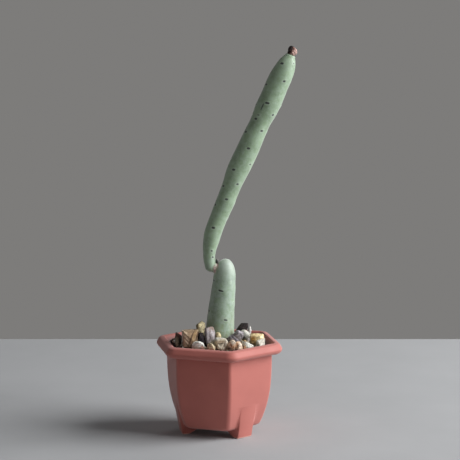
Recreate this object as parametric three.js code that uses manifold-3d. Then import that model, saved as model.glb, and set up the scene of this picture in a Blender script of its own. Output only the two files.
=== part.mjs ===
// A potted euphorbia alluaudii: a stump with one leaning stem, in a three-footed hexagonal pot of soil and stones.
// Millimetres, +Z up. The feet stand on z = 0 and the pot's axis is upright at x = potShift.

import * as THREE from 'three';
import { ConvexGeometry } from 'three/addons/geometries/ConvexGeometry.js';
import { mergeVertices } from 'three/addons/utils/BufferGeometryUtils.js';
import Module from 'manifold-3d';

const wasm = await Module();
wasm.setup();

// Driving dimensions
const potShift = -2.0; // puts the middle of the whole plant and pot over the origin
const leanTurn = THREE.MathUtils.degToRad(18.3); // the stem leans towards this direction, turned from +X to +Y
const clearance = 0.3; // gap between pieces that touch

// Pot: apothems are measured from the axis to the middle of a side
const rimApothem = 33.5; // the rim's widest line
const rimWideHeight = 50.3;
const rimRounding = 7.5; // corner radius, seen from above
const mouthApothem = 29.6; // the rim's crest
const crestHeight = 53.7;
const rimEdge = { apothem: 31.9, height: 47.7 }; // the lip's lower edge
const wallThickness = 1.5;
const neck = { apothem: 27.7, rounding: 2.2 }; // top of the wall, under the rim
const heel = { apothem: 20.9, height: 4.7, rounding: 3.6 }; // bottom of the wall, before it turns under
const bellyPower = 3.0; // how late the wall curves in, going down
const heelTurn = 2.6; // height over which the wall turns into the flat bottom
const drainRadius = 5;
const spokeSteps = [-1, -0.5, 0, 0.5, 1, 2]; // 1 is where a corner's rounding ends, 2 the middle of the next side
const wallSteps = 10;

// Feet: flat pilasters on three alternate sides
const footAngles = [-30, 90, 210]; // degrees from +X
const footReach = 22.2; // the foot's outer face at the floor
const footBend = { apothem: 26.4, height: 22 }; // above this line the face leans over and runs out into the wall
const footTop = 31;
const footHalfWidth = { floor: 5.35, top: 6.1 };
const footPad = 3.2; // flat depth of the foot's underside
const footRunout = { sink: 0.05, margin: 0.5 }; // how the face's top end dips just under the wall's surface
const archRise = [[16.6, 1.3], [13.2, 3.3], [10.4, 5.5]]; // the foot's underside curves up to the bottom: apothem, height

// Filling
const soilTop = 46.0;
const stoneFloor = 47.6; // no stone reaches lower, so that the bed stays whole under it
const bedSpokes = 54;
const bedRings = 10;
const bed = { wall: 48.4, middle: 55.2, grain: 3.1, relief: 1.1 }; // heights at the wall and at the stem, and its grit

// Stem: rows of [towards the lean, radius, height] in the upright plane in which the stem leans
const stumpLine = [
  [0.2, 7.5, 31.5], [0.3, 8.3, 42.5], [0.5, 8.3, 54.5], [0.8, 8.0, 62], [1.4, 7.5, 70.5], [2.1, 7.1, 77.2],
  [2.7, 6.8, 83.2], [3.1, 6.4, 88],
];
const stumpAtBed = { across: 0.5, radius: 8.3, spare: 0.1 }; // what the stones stand clear of
const stumpCaps = { foot: 4.5, dome: 12.4 }; // heights of the rounded ends
const stemLine = [
  [-4.7, 3.2, 96.1], [-5.4, 3.3, 99.6], [-5.5, 3.45, 102.8], [-5.1, 4.05, 107.2], [-4.3, 4.6, 111.1],
  [-3.1, 4.9, 116], [-0.1, 4.9, 124], [3.1, 5.25, 131.5], [5.3, 5.25, 137.2], [7.6, 5.4, 143.2], [9.8, 6.0, 148.8],
  [12.4, 6.3, 154.4], [16.2, 6.25, 162.5], [20.0, 6.0, 171], [23.3, 5.75, 178.2], [26.6, 6.45, 185.2],
  [29.9, 6.55, 192.2], [33.1, 6.4, 200], [35.4, 6.25, 204.8], [37.3, 5.65, 208.8], [38.8, 4.6, 212.4], [40.1, 3.0, 215.3],
];
const stemCaps = { foot: 3.2, end: 1.3 };
const joint = { across: -2.7, height: 95.4, size: [2.7, 3.0, 3.1] }; // corky swelling between stump and stem
const stumpRings = 12;
const holeRings = 5;
const stemRings = 40;
const capRings = 4;
const limbSides = 18;
const scar = { around: 0.95, along: 0.6, proud: 0.42 }; // half sizes of a leaf scar's raised pad

// Leaf scars: [height, degrees from the front towards the lean side] on the stem's front half
const stemScars = [
  [210.6, -33], [212.9, 46], [202.9, 22], [197.5, -64], [188.9, -12], [185.7, -73], [184.6, 43], [182, -29],
  [179.3, -34], [175, 26], [170.9, -59], [164.1, -2], [156.7, 46], [151, -25], [144.7, 27], [140.9, -55],
  [135.1, -2], [129.7, -64], [125.3, 66], [118.6, -11], [105.5, 18], [101.7, 36],
];
const stumpScars = [[87.7, -76], [87.9, 32], [83, -13], [76.2, 61], [70.4, -65], [66.3, 21]];
const farSide = { turn: 168, lift: 4.3 }; // the far half has the same scars, turned and a little higher

// Dried tip: blobs of [towards the lean, height, half sizes]
const tipBlobs = [
  { across: 40.8, height: 218.8, size: [1.9, 1.9, 2.3] },
  { across: 41.2, height: 217.5, size: [2.5, 2.4, 2.1] },
  { across: 42.2, height: 218.4, size: [1.6, 1.7, 1.7] },
];

// Stones that show from the front: place and half sizes are [towards the lean, away from the front, up],
// turn is about the upright axis and tip about the line of sight, in degrees
const shownStones = [
  { name: 'white_front', at: [-11.4, -21.6, 53.7], size: [3.9, 3.0, 3.9], turn: 8, tip: -8 },
  { name: 'pink_chip', at: [-9.6, -25.2, 53.4], size: [1.7, 1.4, 1.7], turn: 20, tip: 0 },
  { name: 'green_tan', at: [-4.0, -24.0, 53.7], size: [2.5, 2.4, 2.8], turn: -12, tip: 6 },
  { name: 'cream_boulder', at: [1.3, -20.0, 55.2], size: [4.7, 5.2, 4.6], turn: 10, tip: 4, block: 2801 },
  { name: 'peach_left', at: [7.2, -22.6, 54.7], size: [2.7, 2.6, 3.4], turn: 0, tip: 10 },
  { name: 'peach_right', at: [11.4, -22.0, 54.0], size: [2.4, 2.3, 3.1], turn: 15, tip: -6 },
  { name: 'rust_chip', at: [14.9, -21.6, 52.8], size: [1.7, 1.6, 1.9], turn: 5, tip: 0 },
  { name: 'white_slope', at: [16.4, -17.6, 53.5], size: [4.4, 2.8, 1.9], turn: 24, tip: 24, block: 9613 },
  { name: 'dark_facet', at: [-24.0, -8.6, 54.8], size: [2.7, 3.2, 5.2], turn: 12, tip: 8 },
  { name: 'bark_boulder', at: [-15.9, -13.4, 57.1], size: [5.2, 4.0, 6.5], turn: 12, tip: 2, block: 4107 },
  { name: 'black_wedge', at: [-10.4, -12.6, 56.4], size: [3.4, 3.0, 4.0], turn: 20, tip: 15 },
  { name: 'lilac_slab', at: [-5.2, -12.0, 57.5], size: [3.9, 2.5, 6.1], turn: 24, tip: 6, block: 5219 },
  { name: 'yellow_chip', at: [-0.5, -11.2, 58.0], size: [2.1, 1.9, 2.1], turn: 0, tip: 8 },
  { name: 'grey_shard', at: [8.9, -12.0, 56.1], size: [4.3, 2.3, 3.2], turn: 20, tip: -26, block: 3709 },
  { name: 'lilac_shard', at: [11.4, -5.6, 57.6], size: [2.8, 2.3, 2.6], turn: -10, tip: 12 },
  { name: 'pale_grey', at: [15.0, -1.6, 56.6], size: [3.0, 2.5, 3.0], turn: 0, tip: -14 },
  { name: 'black_shard', at: [13.6, 4.4, 58.6], size: [2.9, 1.9, 4.7], turn: 10, tip: 36 },
  { name: 'white_flake', at: [17.2, 4.6, 56.2], size: [1.2, 2.2, 5.4], turn: 4, tip: 8 },
  { name: 'yellow_ochre', at: [21.0, -7.0, 55.0], size: [5.0, 4.3, 4.1], turn: -8, tip: 0, block: 7433 },
  { name: 'cream_side', at: [24.0, -11.6, 53.8], size: [2.7, 2.4, 2.6], turn: 30, tip: -10, block: 8501 },
  { name: 'yellow_upright', at: [-9.9, -3.8, 60.3], size: [3.0, 2.1, 5.0], turn: 30, tip: -14, block: 6311 },
];

// Stones where nothing shows: sizes and places are drawn by a seeded rule
const fillStones = { count: 24, small: 2.3, large: 4.0, tries: 90, seed: 71 };
// A stone's points, how square it is, how uneven, and the flat cuts across it as shares of its half sizes
const stoneForm = { points: 26, square: [4.5, 9], uneven: [0.93, 1.06], cuts: 4, cutReach: [0.78, 0.98] };
// Corners and face rises of a stone with a block number, as shares of its half sizes; the number seeds its draws
const blockForm = { corner: [0.66, 0.98], rise: [0.94, 1.12] };
const wallStones = { reach: 17, top: 52.6 }; // further out than this, the drawn stones stay below this height

// Helpers

function randomDraws(seed) {
  let state = seed;
  return (low, high) => {
    state = (state * 16807) % 2147483647;
    return low + ((high - low) * state) / 2147483647;
  };
}

// A closed three.js geometry as a manifold solid
function solidOf(geometry) {
  const bare = geometry.clone();
  bare.deleteAttribute('normal');
  bare.deleteAttribute('uv');
  const merged = mergeVertices(bare, 1e-4);
  const corners = merged.index.array;
  const kept = [];
  for (let i = 0; i < corners.length; i += 3) {
    const [a, b, c] = corners.slice(i, i + 3);
    if (a !== b && b !== c && c !== a) kept.push(a, b, c);
  }
  return new wasm.Manifold(new wasm.Mesh({
    numProp: 3,
    vertProperties: new Float32Array(merged.attributes.position.array),
    triVerts: new Uint32Array(kept),
  }));
}

function geometryOf(solid) {
  const { vertProperties, triVerts } = solid.getMesh();
  const geometry = new THREE.BufferGeometry();
  geometry.setAttribute('position', new THREE.BufferAttribute(vertProperties, 3));
  geometry.setIndex(new THREE.BufferAttribute(triVerts, 1));
  geometry.computeVertexNormals();
  return geometry;
}

function largestBody(solid) {
  return solid.decompose().reduce((best, body) => (body.volume() > best.volume() ? body : best));
}

// A point of the plane in which the stem leans: towards the lean, away from the front, up
function place(across, away, height) {
  return new THREE.Vector3(
    potShift + across * Math.cos(leanTurn) - away * Math.sin(leanTurn),
    across * Math.sin(leanTurn) + away * Math.cos(leanTurn),
    height,
  );
}

// Where the rounding of a hexagon's corner ends, in degrees from the corner
function roundingEnd(apothem, rounding) {
  const middle = (apothem - rounding) / Math.cos(Math.PI / 6);
  return THREE.MathUtils.radToDeg(Math.atan2(rounding / 2, middle + rounding * Math.cos(Math.PI / 6)));
}

// Radius of a hexagon with rounded corners, in a direction given in degrees from a corner
function hexRadius(apothem, rounding, degrees) {
  const fromCorner = Math.abs(((degrees + 30) % 60 + 60) % 60 - 30);
  const turn = THREE.MathUtils.degToRad(fromCorner);
  const middle = (apothem - rounding) / Math.cos(Math.PI / 6);
  if (fromCorner >= roundingEnd(apothem, rounding)) return apothem / Math.cos(Math.PI / 6 - turn);
  return middle * Math.cos(turn) + Math.sqrt(Math.max(rounding ** 2 - (middle * Math.sin(turn)) ** 2, 0));
}

// The spokes of a hexagonal section: most of them stand where its corners are rounded
function cornerSpokes(apothem, rounding) {
  const end = roundingEnd(apothem, rounding);
  return [0, 60, 120, 180, 240, 300].flatMap((corner) => spokeSteps.map((step) => {
    if (Math.abs(step) <= 1) return corner + step * end;
    return corner + THREE.MathUtils.mapLinear(step, 1, 2, end, 30);
  }));
}

function evenSpokes() {
  return Array.from({ length: bedSpokes }, (_, i) => (i * 360) / bedSpokes);
}

// A lathe whose round sections are drawn out into hexagons: profile rows are [apothem, height, corner rounding]
function hexLathe(profile, spokesOf = cornerSpokes, lift = () => 0) {
  const rows = profile.map(([apothem, height, rounding]) => (
    { apothem, height, rounding, spokes: spokesOf(apothem, rounding) }
  ));
  const spokeCount = rows[0].spokes.length;
  const lathe = new THREE.LatheGeometry(rows.map((row) => new THREE.Vector2(row.apothem, row.height)), spokeCount);
  const position = lathe.attributes.position;
  for (let i = 0; i < position.count; i++) {
    const { apothem, height, rounding, spokes } = rows[i % rows.length];
    const degrees = spokes[Math.floor(i / rows.length) % spokeCount];
    const radius = apothem > 0 ? hexRadius(apothem, rounding, degrees) : 0;
    const x = potShift + radius * Math.cos(THREE.MathUtils.degToRad(degrees));
    const y = radius * Math.sin(THREE.MathUtils.degToRad(degrees));
    position.setXYZ(i, x, y, height + lift(x, y, i % rows.length));
  }
  return lathe;
}

// Pot

// The wall's apothem and corner rounding at a height
function wallAt(height) {
  const share = THREE.MathUtils.clamp((height - heel.height) / (rimEdge.height - heel.height), 0, 1);
  const swell = 1 - (1 - share) ** bellyPower;
  return {
    apothem: THREE.MathUtils.lerp(heel.apothem, neck.apothem, swell),
    rounding: THREE.MathUtils.lerp(heel.rounding, neck.rounding, share),
  };
}

// The outside of the wall from the flat bottom up to the rim
function wallOutline(inset) {
  const rows = [];
  const turnStart = heel.height + heelTurn;
  const start = wallAt(turnStart);
  const below = wallAt(turnStart - 1);
  const slope = start.apothem - below.apothem;
  const turn = new THREE.CubicBezierCurve(
    new THREE.Vector2(start.apothem - 5, heel.height),
    new THREE.Vector2(start.apothem - 2.4, heel.height),
    new THREE.Vector2(start.apothem - slope * 1.6, turnStart - 1.6),
    new THREE.Vector2(start.apothem, turnStart),
  );
  const curve = turn.getPoints(4).slice(0, -1);
  for (let i = 0; i <= wallSteps; i++) {
    const height = THREE.MathUtils.lerp(turnStart, rimEdge.height, i / wallSteps);
    curve.push(new THREE.Vector2(wallAt(height).apothem, height));
  }
  for (let i = 0; i < curve.length; i++) {
    const before = curve[Math.max(i - 1, 0)];
    const after = curve[Math.min(i + 1, curve.length - 1)];
    const along = after.clone().sub(before).normalize();
    const point = new THREE.Vector2(curve[i].x - along.y * inset, curve[i].y + along.x * inset);
    rows.push([point.x, point.y, Math.max(wallAt(curve[i].y).rounding - inset, 0.5)]);
  }
  return rows;
}

function potShell() {
  const outside = wallOutline(0);
  const inside = wallOutline(wallThickness).reverse();
  const roll = new THREE.SplineCurve([
    new THREE.Vector2(rimEdge.apothem, rimEdge.height),
    new THREE.Vector2(rimApothem - 0.35, rimEdge.height + 1.1),
    new THREE.Vector2(rimApothem, rimWideHeight),
    new THREE.Vector2(rimApothem - 0.75, rimWideHeight + 1.6),
    new THREE.Vector2(mouthApothem + 2.2, crestHeight - 0.55),
    new THREE.Vector2(mouthApothem, crestHeight),
    new THREE.Vector2(mouthApothem - 0.9, crestHeight - 0.8),
  ]).getPoints(10);
  const roundingOf = (apothem) => THREE.MathUtils.mapLinear(apothem, neck.apothem, rimApothem, neck.rounding, rimRounding);
  const rim = roll.map((point) => [point.x, point.y, roundingOf(point.x)]);
  const underside = [
    [neck.apothem, rimEdge.height + 0.8, neck.rounding],
    [rimEdge.apothem - 1.1, rimEdge.height - 0.1, roundingOf(rimEdge.apothem - 1.1)],
  ];
  const drain = [[drainRadius, heel.height + wallThickness, drainRadius], [drainRadius, heel.height, drainRadius]];
  const profile = [...outside, ...underside, ...rim, ...inside, ...drain, outside[0]];
  return solidOf(hexLathe(profile));
}

// One foot: its side view is extruded across its width and then set against its side of the pot
function foot(degrees) {
  const skin = wallOutline(wallThickness / 2).filter(([, height]) => height < footTop - footRunout.margin).reverse();
  const outline = new THREE.Shape([
    new THREE.Vector2(footReach - footPad, 0),
    new THREE.Vector2(footReach, 0),
    new THREE.Vector2(footBend.apothem, footBend.height),
    new THREE.Vector2(wallAt(footTop).apothem - footRunout.sink, footTop),
    ...skin.map(([apothem, height]) => new THREE.Vector2(apothem, height)),
    ...archRise.toReversed().map(([apothem, height]) => new THREE.Vector2(apothem, height)),
  ]);
  const geometry = new THREE.ExtrudeGeometry(outline, { depth: 2, bevelEnabled: false });
  const position = geometry.attributes.position;
  for (let i = 0; i < position.count; i++) {
    const reach = position.getX(i);
    const height = position.getY(i);
    const width = THREE.MathUtils.mapLinear(height, 0, footTop, footHalfWidth.floor, footHalfWidth.top);
    position.setXYZ(i, reach, -(position.getZ(i) - 1) * width, height);
  }
  geometry.rotateZ(THREE.MathUtils.degToRad(degrees));
  geometry.translate(potShift, 0, 0);
  return solidOf(geometry);
}

function pot() {
  return footAngles.reduce((shell, degrees) => shell.add(foot(degrees)), potShell());
}

// Stem

// A round limb along a line of [towards the lean, radius, height], with rounded ends and grown by a margin
function limb(line, rings, footCap, endCap, margin = 0) {
  const path = new THREE.CatmullRomCurve3(line.map(([across, radius, height]) => new THREE.Vector3(across, radius, height)));
  const rows = [];
  const addRow = (at, slide, shrink) => {
    const point = path.getPoint(at);
    const along = path.getTangent(at).setY(0).normalize();
    rows.push({
      middle: point.clone().setY(0).addScaledVector(along, slide),
      along,
      radius: (point.y + margin) * shrink,
    });
  };
  for (let i = 0; i < capRings; i++) {
    const turn = (Math.PI / 2) * (1 - i / capRings);
    addRow(0, -(footCap + margin) * Math.sin(turn), i === 0 ? 0 : Math.cos(turn));
  }
  for (let i = 0; i <= rings; i++) addRow(i / rings, 0, 1);
  for (let i = 1; i <= capRings; i++) {
    const turn = (Math.PI / 2) * (i / capRings);
    addRow(1, (endCap + margin) * Math.sin(turn), i === capRings ? 0 : Math.cos(turn));
  }
  const lathe = new THREE.LatheGeometry(rows.map((row, i) => new THREE.Vector2(row.radius, i)), limbSides);
  const position = lathe.attributes.position;
  for (let i = 0; i < position.count; i++) {
    const { middle, along, radius } = rows[i % rows.length];
    const turn = (2 * Math.PI * (Math.floor(i / rows.length) % limbSides)) / limbSides;
    const outward = radius * Math.cos(turn);
    const corner = place(middle.x + along.z * outward, radius * Math.sin(turn), middle.z - along.x * outward);
    position.setXYZ(i, corner.x, corner.y, corner.z);
  }
  return solidOf(lathe);
}

function ball(across, away, height, [wide, deep, tall], detail) {
  const geometry = new THREE.IcosahedronGeometry(1, detail);
  geometry.scale(wide, deep, tall);
  geometry.rotateZ(leanTurn);
  const middle = place(across, away, height);
  geometry.translate(middle.x, middle.y, middle.z);
  return solidOf(geometry);
}

// A raised pad on a limb's surface, at a height and at degrees from the front towards the lean side
function scarPad(line, height, degrees) {
  const path = new THREE.CatmullRomCurve3(line.map(([across, radius, up]) => new THREE.Vector3(across, radius, up)));
  let low = 0;
  let high = 1;
  for (let i = 0; i < 20; i++) {
    const middle = (low + high) / 2;
    if (path.getPoint(middle).z < height) low = middle;
    else high = middle;
  }
  const point = path.getPoint(low);
  const along = path.getTangent(low).setY(0).normalize();
  const turn = THREE.MathUtils.degToRad(degrees);
  const sink = point.y - 0.12;
  const across = point.x + along.z * Math.sin(turn) * sink;
  const middle = place(across, -Math.cos(turn) * sink, point.z - along.x * Math.sin(turn) * sink);
  const geometry = new THREE.IcosahedronGeometry(1, 0);
  geometry.scale(scar.around, scar.proud, scar.along);
  geometry.rotateZ(turn);
  geometry.rotateY(Math.atan2(along.x, along.z));
  geometry.rotateZ(leanTurn);
  geometry.translate(middle.x, middle.y, middle.z);
  return solidOf(geometry);
}

function stem() {
  const scars = [];
  for (const [line, rows] of [[stemLine, stemScars], [stumpLine, stumpScars]]) {
    const [, , topHeight] = line[line.length - 1];
    for (const [height, degrees] of rows) {
      scars.push(scarPad(line, height, degrees));
      const higher = height + farSide.lift;
      if (higher < topHeight) scars.push(scarPad(line, higher, degrees + farSide.turn));
    }
  }
  const stump = limb(stumpLine, stumpRings, stumpCaps.foot, stumpCaps.dome);
  const branch = limb(stemLine, stemRings, stemCaps.foot, stemCaps.end);
  const swelling = ball(joint.across, 0, joint.height, joint.size, 1);
  return scars.reduce((whole, pad) => whole.add(pad), stump.add(branch).add(swelling));
}

function driedTip() {
  const blobs = tipBlobs.map(({ across, height, size }) => ball(across, 0, height, size, 1));
  const seat = limb(stemLine, stemRings, stemCaps.foot, stemCaps.end, clearance);
  return blobs.reduce((whole, blob) => whole.add(blob)).subtract(seat);
}

// Stones

function bedHeight(x, y) {
  const reach = Math.hypot(x - potShift, y) / (neck.apothem - wallThickness);
  return THREE.MathUtils.lerp(bed.middle, bed.wall, Math.min(reach, 1));
}

// A stone is a set of points about its middle, pressed flat wherever something stands against it
class Stone {
  constructor({ name, at, size, turn, tip, block }, draw) {
    const square = draw(...stoneForm.square);
    this.name = name;
    this.middle = place(...at);
    this.size = size;
    this.turning = new THREE.Matrix4().makeRotationZ(leanTurn + THREE.MathUtils.degToRad(turn));
    this.turning.multiply(new THREE.Matrix4().makeRotationY(THREE.MathUtils.degToRad(tip)));
    this.points = [];
    for (let i = 0; i < stoneForm.points; i++) {
      const height = 1 - (2 * (i + 0.5)) / stoneForm.points;
      const turnOfPoint = i * 2.39996 + draw(-0.5, 0.5);
      const ring = Math.sqrt(1 - height * height);
      const point = new THREE.Vector3(Math.cos(turnOfPoint) * ring, Math.sin(turnOfPoint) * ring, height);
      const sum = Math.abs(point.x) ** square + Math.abs(point.y) ** square + Math.abs(point.z) ** square;
      this.points.push(point.multiplyScalar(sum ** (-1 / square) * draw(...stoneForm.uneven)));
    }
    for (let i = 0; i < stoneForm.cuts; i++) {
      const facing = new THREE.Vector3(draw(-1, 1), draw(-1, 1), draw(-0.6, 1)).normalize();
      this.flatten(this.points, facing, draw(...stoneForm.cutReach));
    }
    if (block) this.points = this.blockPoints(randomDraws(block));
    this.fit();
  }

  // A block has eight corners, each drawn a little short of its full reach, and a low rise on each face
  blockPoints(draw) {
    const points = [];
    const corner = (side) => side * draw(...blockForm.corner);
    for (const x of [-1, 1]) {
      for (const y of [-1, 1]) {
        for (const z of [-1, 1]) points.push(new THREE.Vector3(corner(x), corner(y), corner(z)));
      }
    }
    for (const facing of [[1, 0, 0], [-1, 0, 0], [0, 1, 0], [0, -1, 0], [0, 0, 1], [0, 0, -1]]) {
      const middle = new THREE.Vector3(...facing).multiplyScalar(draw(...blockForm.rise));
      points.push(middle.add(new THREE.Vector3(draw(-0.3, 0.3), draw(-0.3, 0.3), draw(-0.3, 0.3))));
    }
    return points;
  }

  flatten(points, facing, distance) {
    for (const point of points) {
      const over = point.dot(facing) - distance;
      if (over > 0) point.addScaledVector(facing, -over);
    }
  }

  // Half sizes are met exactly, whatever the draws were
  fit() {
    for (const [i, axis] of ['x', 'y', 'z'].entries()) {
      const reach = Math.max(...this.points.map((point) => Math.abs(point[axis])));
      for (const point of this.points) point[axis] *= this.size[i] / reach;
    }
    this.placed(0);
  }

  placed(margin) {
    this.world = this.points.map((point) => new THREE.Vector3(
      point.x * (1 + margin / this.size[0]), point.y * (1 + margin / this.size[1]), point.z * (1 + margin / this.size[2]),
    ).applyMatrix4(this.turning).add(this.middle));
    return this.world;
  }

  reachTowards(facing) {
    return Math.max(...this.points.map((point) => point.clone().applyMatrix4(this.turning).dot(facing)));
  }

  // Nothing of the stone stays beyond a plane this far from its middle
  press(facing, distance) {
    const inStone = facing.clone().transformDirection(this.turning.clone().invert());
    this.flatten(this.points, inStone, distance);
  }

  geometry(margin = 0) {
    return new ConvexGeometry(this.placed(margin));
  }
}

// Two stones that would touch are both pressed back from the plane half way between them
function separate(a, b) {
  const between = b.middle.clone().sub(a.middle);
  const distance = between.length();
  const facing = between.normalize();
  const reachA = a.reachTowards(facing);
  const reachB = b.reachTowards(facing.clone().negate());
  const over = reachA + reachB + clearance - distance;
  if (over <= 0) return;
  a.press(facing, reachA - over / 2);
  b.press(facing.clone().negate(), reachB - over / 2);
}

function keepInside(stone) {
  for (let side = 30; side < 360; side += 60) {
    const turn = THREE.MathUtils.degToRad(side);
    const facing = new THREE.Vector3(Math.cos(turn), Math.sin(turn), 0);
    const room = neck.apothem - wallThickness - clearance;
    stone.press(facing, room - (stone.middle.x - potShift) * facing.x - stone.middle.y * facing.y);
  }
  stone.press(new THREE.Vector3(0, 0, -1), stone.middle.z - stoneFloor);
  const toStem = place(stumpAtBed.across, 0, stone.middle.z).sub(stone.middle);
  stone.press(toStem.clone().normalize(), toStem.length() - stumpAtBed.radius - clearance - stumpAtBed.spare);
}

function topStones() {
  const draw = randomDraws(fillStones.seed);
  const stones = shownStones.map((row) => new Stone(row, draw));
  const room = neck.apothem - wallThickness;
  for (let i = 0; i < fillStones.count; i++) {
    let best = { clear: -Infinity };
    for (let j = 0; j < fillStones.tries; j++) {
      const turn = draw(0, 360);
      const reach = Math.sqrt(draw(0.1, 1)) * hexRadius(room - 2.4, 4, turn);
      const x = potShift + reach * Math.cos(THREE.MathUtils.degToRad(turn));
      const y = reach * Math.sin(THREE.MathUtils.degToRad(turn));
      const clear = Math.min(
        reach - stumpAtBed.radius,
        ...stones.map((stone) => Math.hypot(stone.middle.x - x, stone.middle.y - y) - (stone.size[0] + stone.size[1]) / 2),
      );
      if (clear > best.clear) best = { clear, x, y };
    }
    const size = THREE.MathUtils.clamp(best.clear, fillStones.small, fillStones.large);
    const row = {
      name: `stone_${String(i + 1).padStart(2, '0')}`,
      at: [0, 0, 0],
      size: [size * draw(0.9, 1.15), size * draw(0.8, 1.05), size * draw(0.7, 0.95)],
      turn: draw(0, 180),
      tip: draw(-25, 25),
    };
    const stone = new Stone(row, draw);
    const height = bedHeight(best.x, best.y) + stone.size[2] * 0.35;
    const nearWall = Math.hypot(best.x - potShift, best.y) > wallStones.reach;
    stone.middle.set(best.x, best.y, nearWall ? Math.min(height, wallStones.top - stone.size[2]) : height);
    stones.push(stone);
  }
  for (const stone of stones) keepInside(stone);
  for (let i = 0; i < stones.length; i++) {
    for (let j = i + 1; j < stones.length; j++) separate(stones[i], stones[j]);
  }
  return stones;
}

// Domed grit on the bed: each cell of a square net holds one grain at a drawn place
function grit(x, y) {
  let nearest = Infinity;
  const column = Math.floor(x / bed.grain);
  const line = Math.floor(y / bed.grain);
  for (let i = column - 1; i <= column + 1; i++) {
    for (let j = line - 1; j <= line + 1; j++) {
      const draw = randomDraws(1000 + ((i + 40) * 97 + (j + 40)) * 13);
      draw(0, 1);
      const grainX = (i + draw(0.2, 0.8)) * bed.grain;
      const grainY = (j + draw(0.2, 0.8)) * bed.grain;
      nearest = Math.min(nearest, Math.hypot(x - grainX, y - grainY));
    }
  }
  return bed.relief * Math.max(1 - (nearest / (bed.grain * 0.75)) ** 2, -0.4);
}

function gravelBed(stones) {
  const inner = wallOutline(wallThickness + clearance);
  const edge = inner[inner.length - 1];
  const profile = [[0, soilTop + clearance, 1], [edge[0], soilTop + clearance, edge[2]]];
  for (let ring = bedRings; ring >= 0; ring--) profile.push([(edge[0] * ring) / bedRings, 0, edge[2]]);
  const lift = (x, y, row) => (row < 2 ? 0 : bedHeight(x, y) + grit(x, y));
  const slab = solidOf(hexLathe(profile, evenSpokes, lift));
  const stump = limb(stumpLine, holeRings, stumpCaps.foot, stumpCaps.dome, clearance);
  const cut = stones.reduce((body, stone) => body.subtract(solidOf(stone.geometry(clearance))), slab.subtract(stump));
  return largestBody(cut);
}

function soil() {
  const rows = wallOutline(wallThickness + clearance).filter(([, height]) => height < soilTop);
  const [topApothem, , topRounding] = rows[rows.length - 1];
  const [floorApothem, floorHeight, floorRounding] = rows[0];
  const profile = [[0, floorHeight, 1], [floorApothem, floorHeight, floorRounding], ...rows.slice(1)];
  profile.push([topApothem, soilTop, topRounding], [0, soilTop, 1]);
  const stump = limb(stumpLine, holeRings, stumpCaps.foot, stumpCaps.dome, clearance);
  return solidOf(hexLathe(profile)).subtract(stump);
}

// Looks

const finishes = {
  terracotta: { color: '#c06a56', roughness: 0.55 },
  soil: { color: '#3a2c22', roughness: 1 },
  grit: { color: '#6b5c4c', roughness: 0.95 },
  stem: { color: '#8fae95', roughness: 0.6 },
  driedTip: { color: '#4a2d25', roughness: 0.85 },
};
const stoneColors = {
  white_front: '#d9d4c6', pink_chip: '#d5b5a4', green_tan: '#a3916c', cream_boulder: '#c9b592', peach_left: '#dcb898',
  peach_right: '#e2c3a4', rust_chip: '#9a6a42', white_slope: '#dbd6c9', dark_facet: '#57503f', bark_boulder: '#a98b6a',
  black_wedge: '#1d1718', lilac_slab: '#a79c9b', yellow_chip: '#e0c98e', grey_shard: '#7d7269', lilac_shard: '#8d8288',
  pale_grey: '#bdb9ab', black_shard: '#2a2222', white_flake: '#d8cfd0', yellow_ochre: '#d2a765', cream_side: '#c9bda5',
  yellow_upright: '#dcc48d',
};
const fillColors = ['#c8b694', '#9b8468', '#d6cfc0', '#7a6e62', '#caa670', '#3b322e', '#b9aea2', '#a78c70'];

function material({ color, roughness }) {
  return new THREE.MeshStandardMaterial({ color, roughness, metalness: 0 });
}

function named(name, geometry, finish) {
  const mesh = new THREE.Mesh(geometry, material(finish));
  mesh.name = name;
  return mesh;
}

// The whole plant in its pot

const plant = new THREE.Group();
const stones = topStones();
plant.add(named('pot', geometryOf(pot()), finishes.terracotta));
plant.add(named('soil', geometryOf(soil()), finishes.soil));
plant.add(named('gravel_bed', geometryOf(gravelBed(stones)), finishes.grit));
plant.add(named('stem', geometryOf(stem()), finishes.stem));
plant.add(named('dried_tip', geometryOf(driedTip()), finishes.driedTip));
for (const [i, stone] of stones.entries()) {
  const color = stoneColors[stone.name] ?? fillColors[i % fillColors.length];
  plant.add(named(stone.name, stone.geometry(), { color, roughness: 0.9 }));
}

export default plant;
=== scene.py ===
import math

import bpy
import numpy as np
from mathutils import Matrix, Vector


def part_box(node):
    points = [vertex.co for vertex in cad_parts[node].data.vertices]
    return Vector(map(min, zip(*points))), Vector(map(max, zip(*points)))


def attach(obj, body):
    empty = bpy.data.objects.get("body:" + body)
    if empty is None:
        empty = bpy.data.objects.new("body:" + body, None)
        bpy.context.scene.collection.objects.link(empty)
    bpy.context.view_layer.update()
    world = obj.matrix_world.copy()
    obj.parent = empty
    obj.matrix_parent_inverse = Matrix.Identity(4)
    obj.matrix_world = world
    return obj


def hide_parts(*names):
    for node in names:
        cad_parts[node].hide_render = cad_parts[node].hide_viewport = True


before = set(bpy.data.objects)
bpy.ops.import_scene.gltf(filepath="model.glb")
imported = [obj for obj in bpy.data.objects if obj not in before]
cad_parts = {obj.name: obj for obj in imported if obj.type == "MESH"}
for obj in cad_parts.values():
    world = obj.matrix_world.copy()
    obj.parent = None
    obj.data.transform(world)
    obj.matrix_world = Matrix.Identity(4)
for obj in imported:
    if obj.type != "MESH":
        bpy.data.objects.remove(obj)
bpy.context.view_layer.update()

# A potted euphorbia alluaudii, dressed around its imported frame.
# Lengths in the dictionaries are millimetres; the meshes are in metres.
mm = 0.001
potLow, potHigh = (np.array(corner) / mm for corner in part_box("pot"))
potAxis = float(potLow[0] + potHigh[0]) / 2
leanTurn = math.radians(18.3)  # the stem leans towards this direction, turned from +X to +Y
print("frame loaded:", len(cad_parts), "nodes, pot axis at x =", round(potAxis, 2), "mm")


# Shapes worked out on grids

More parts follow.
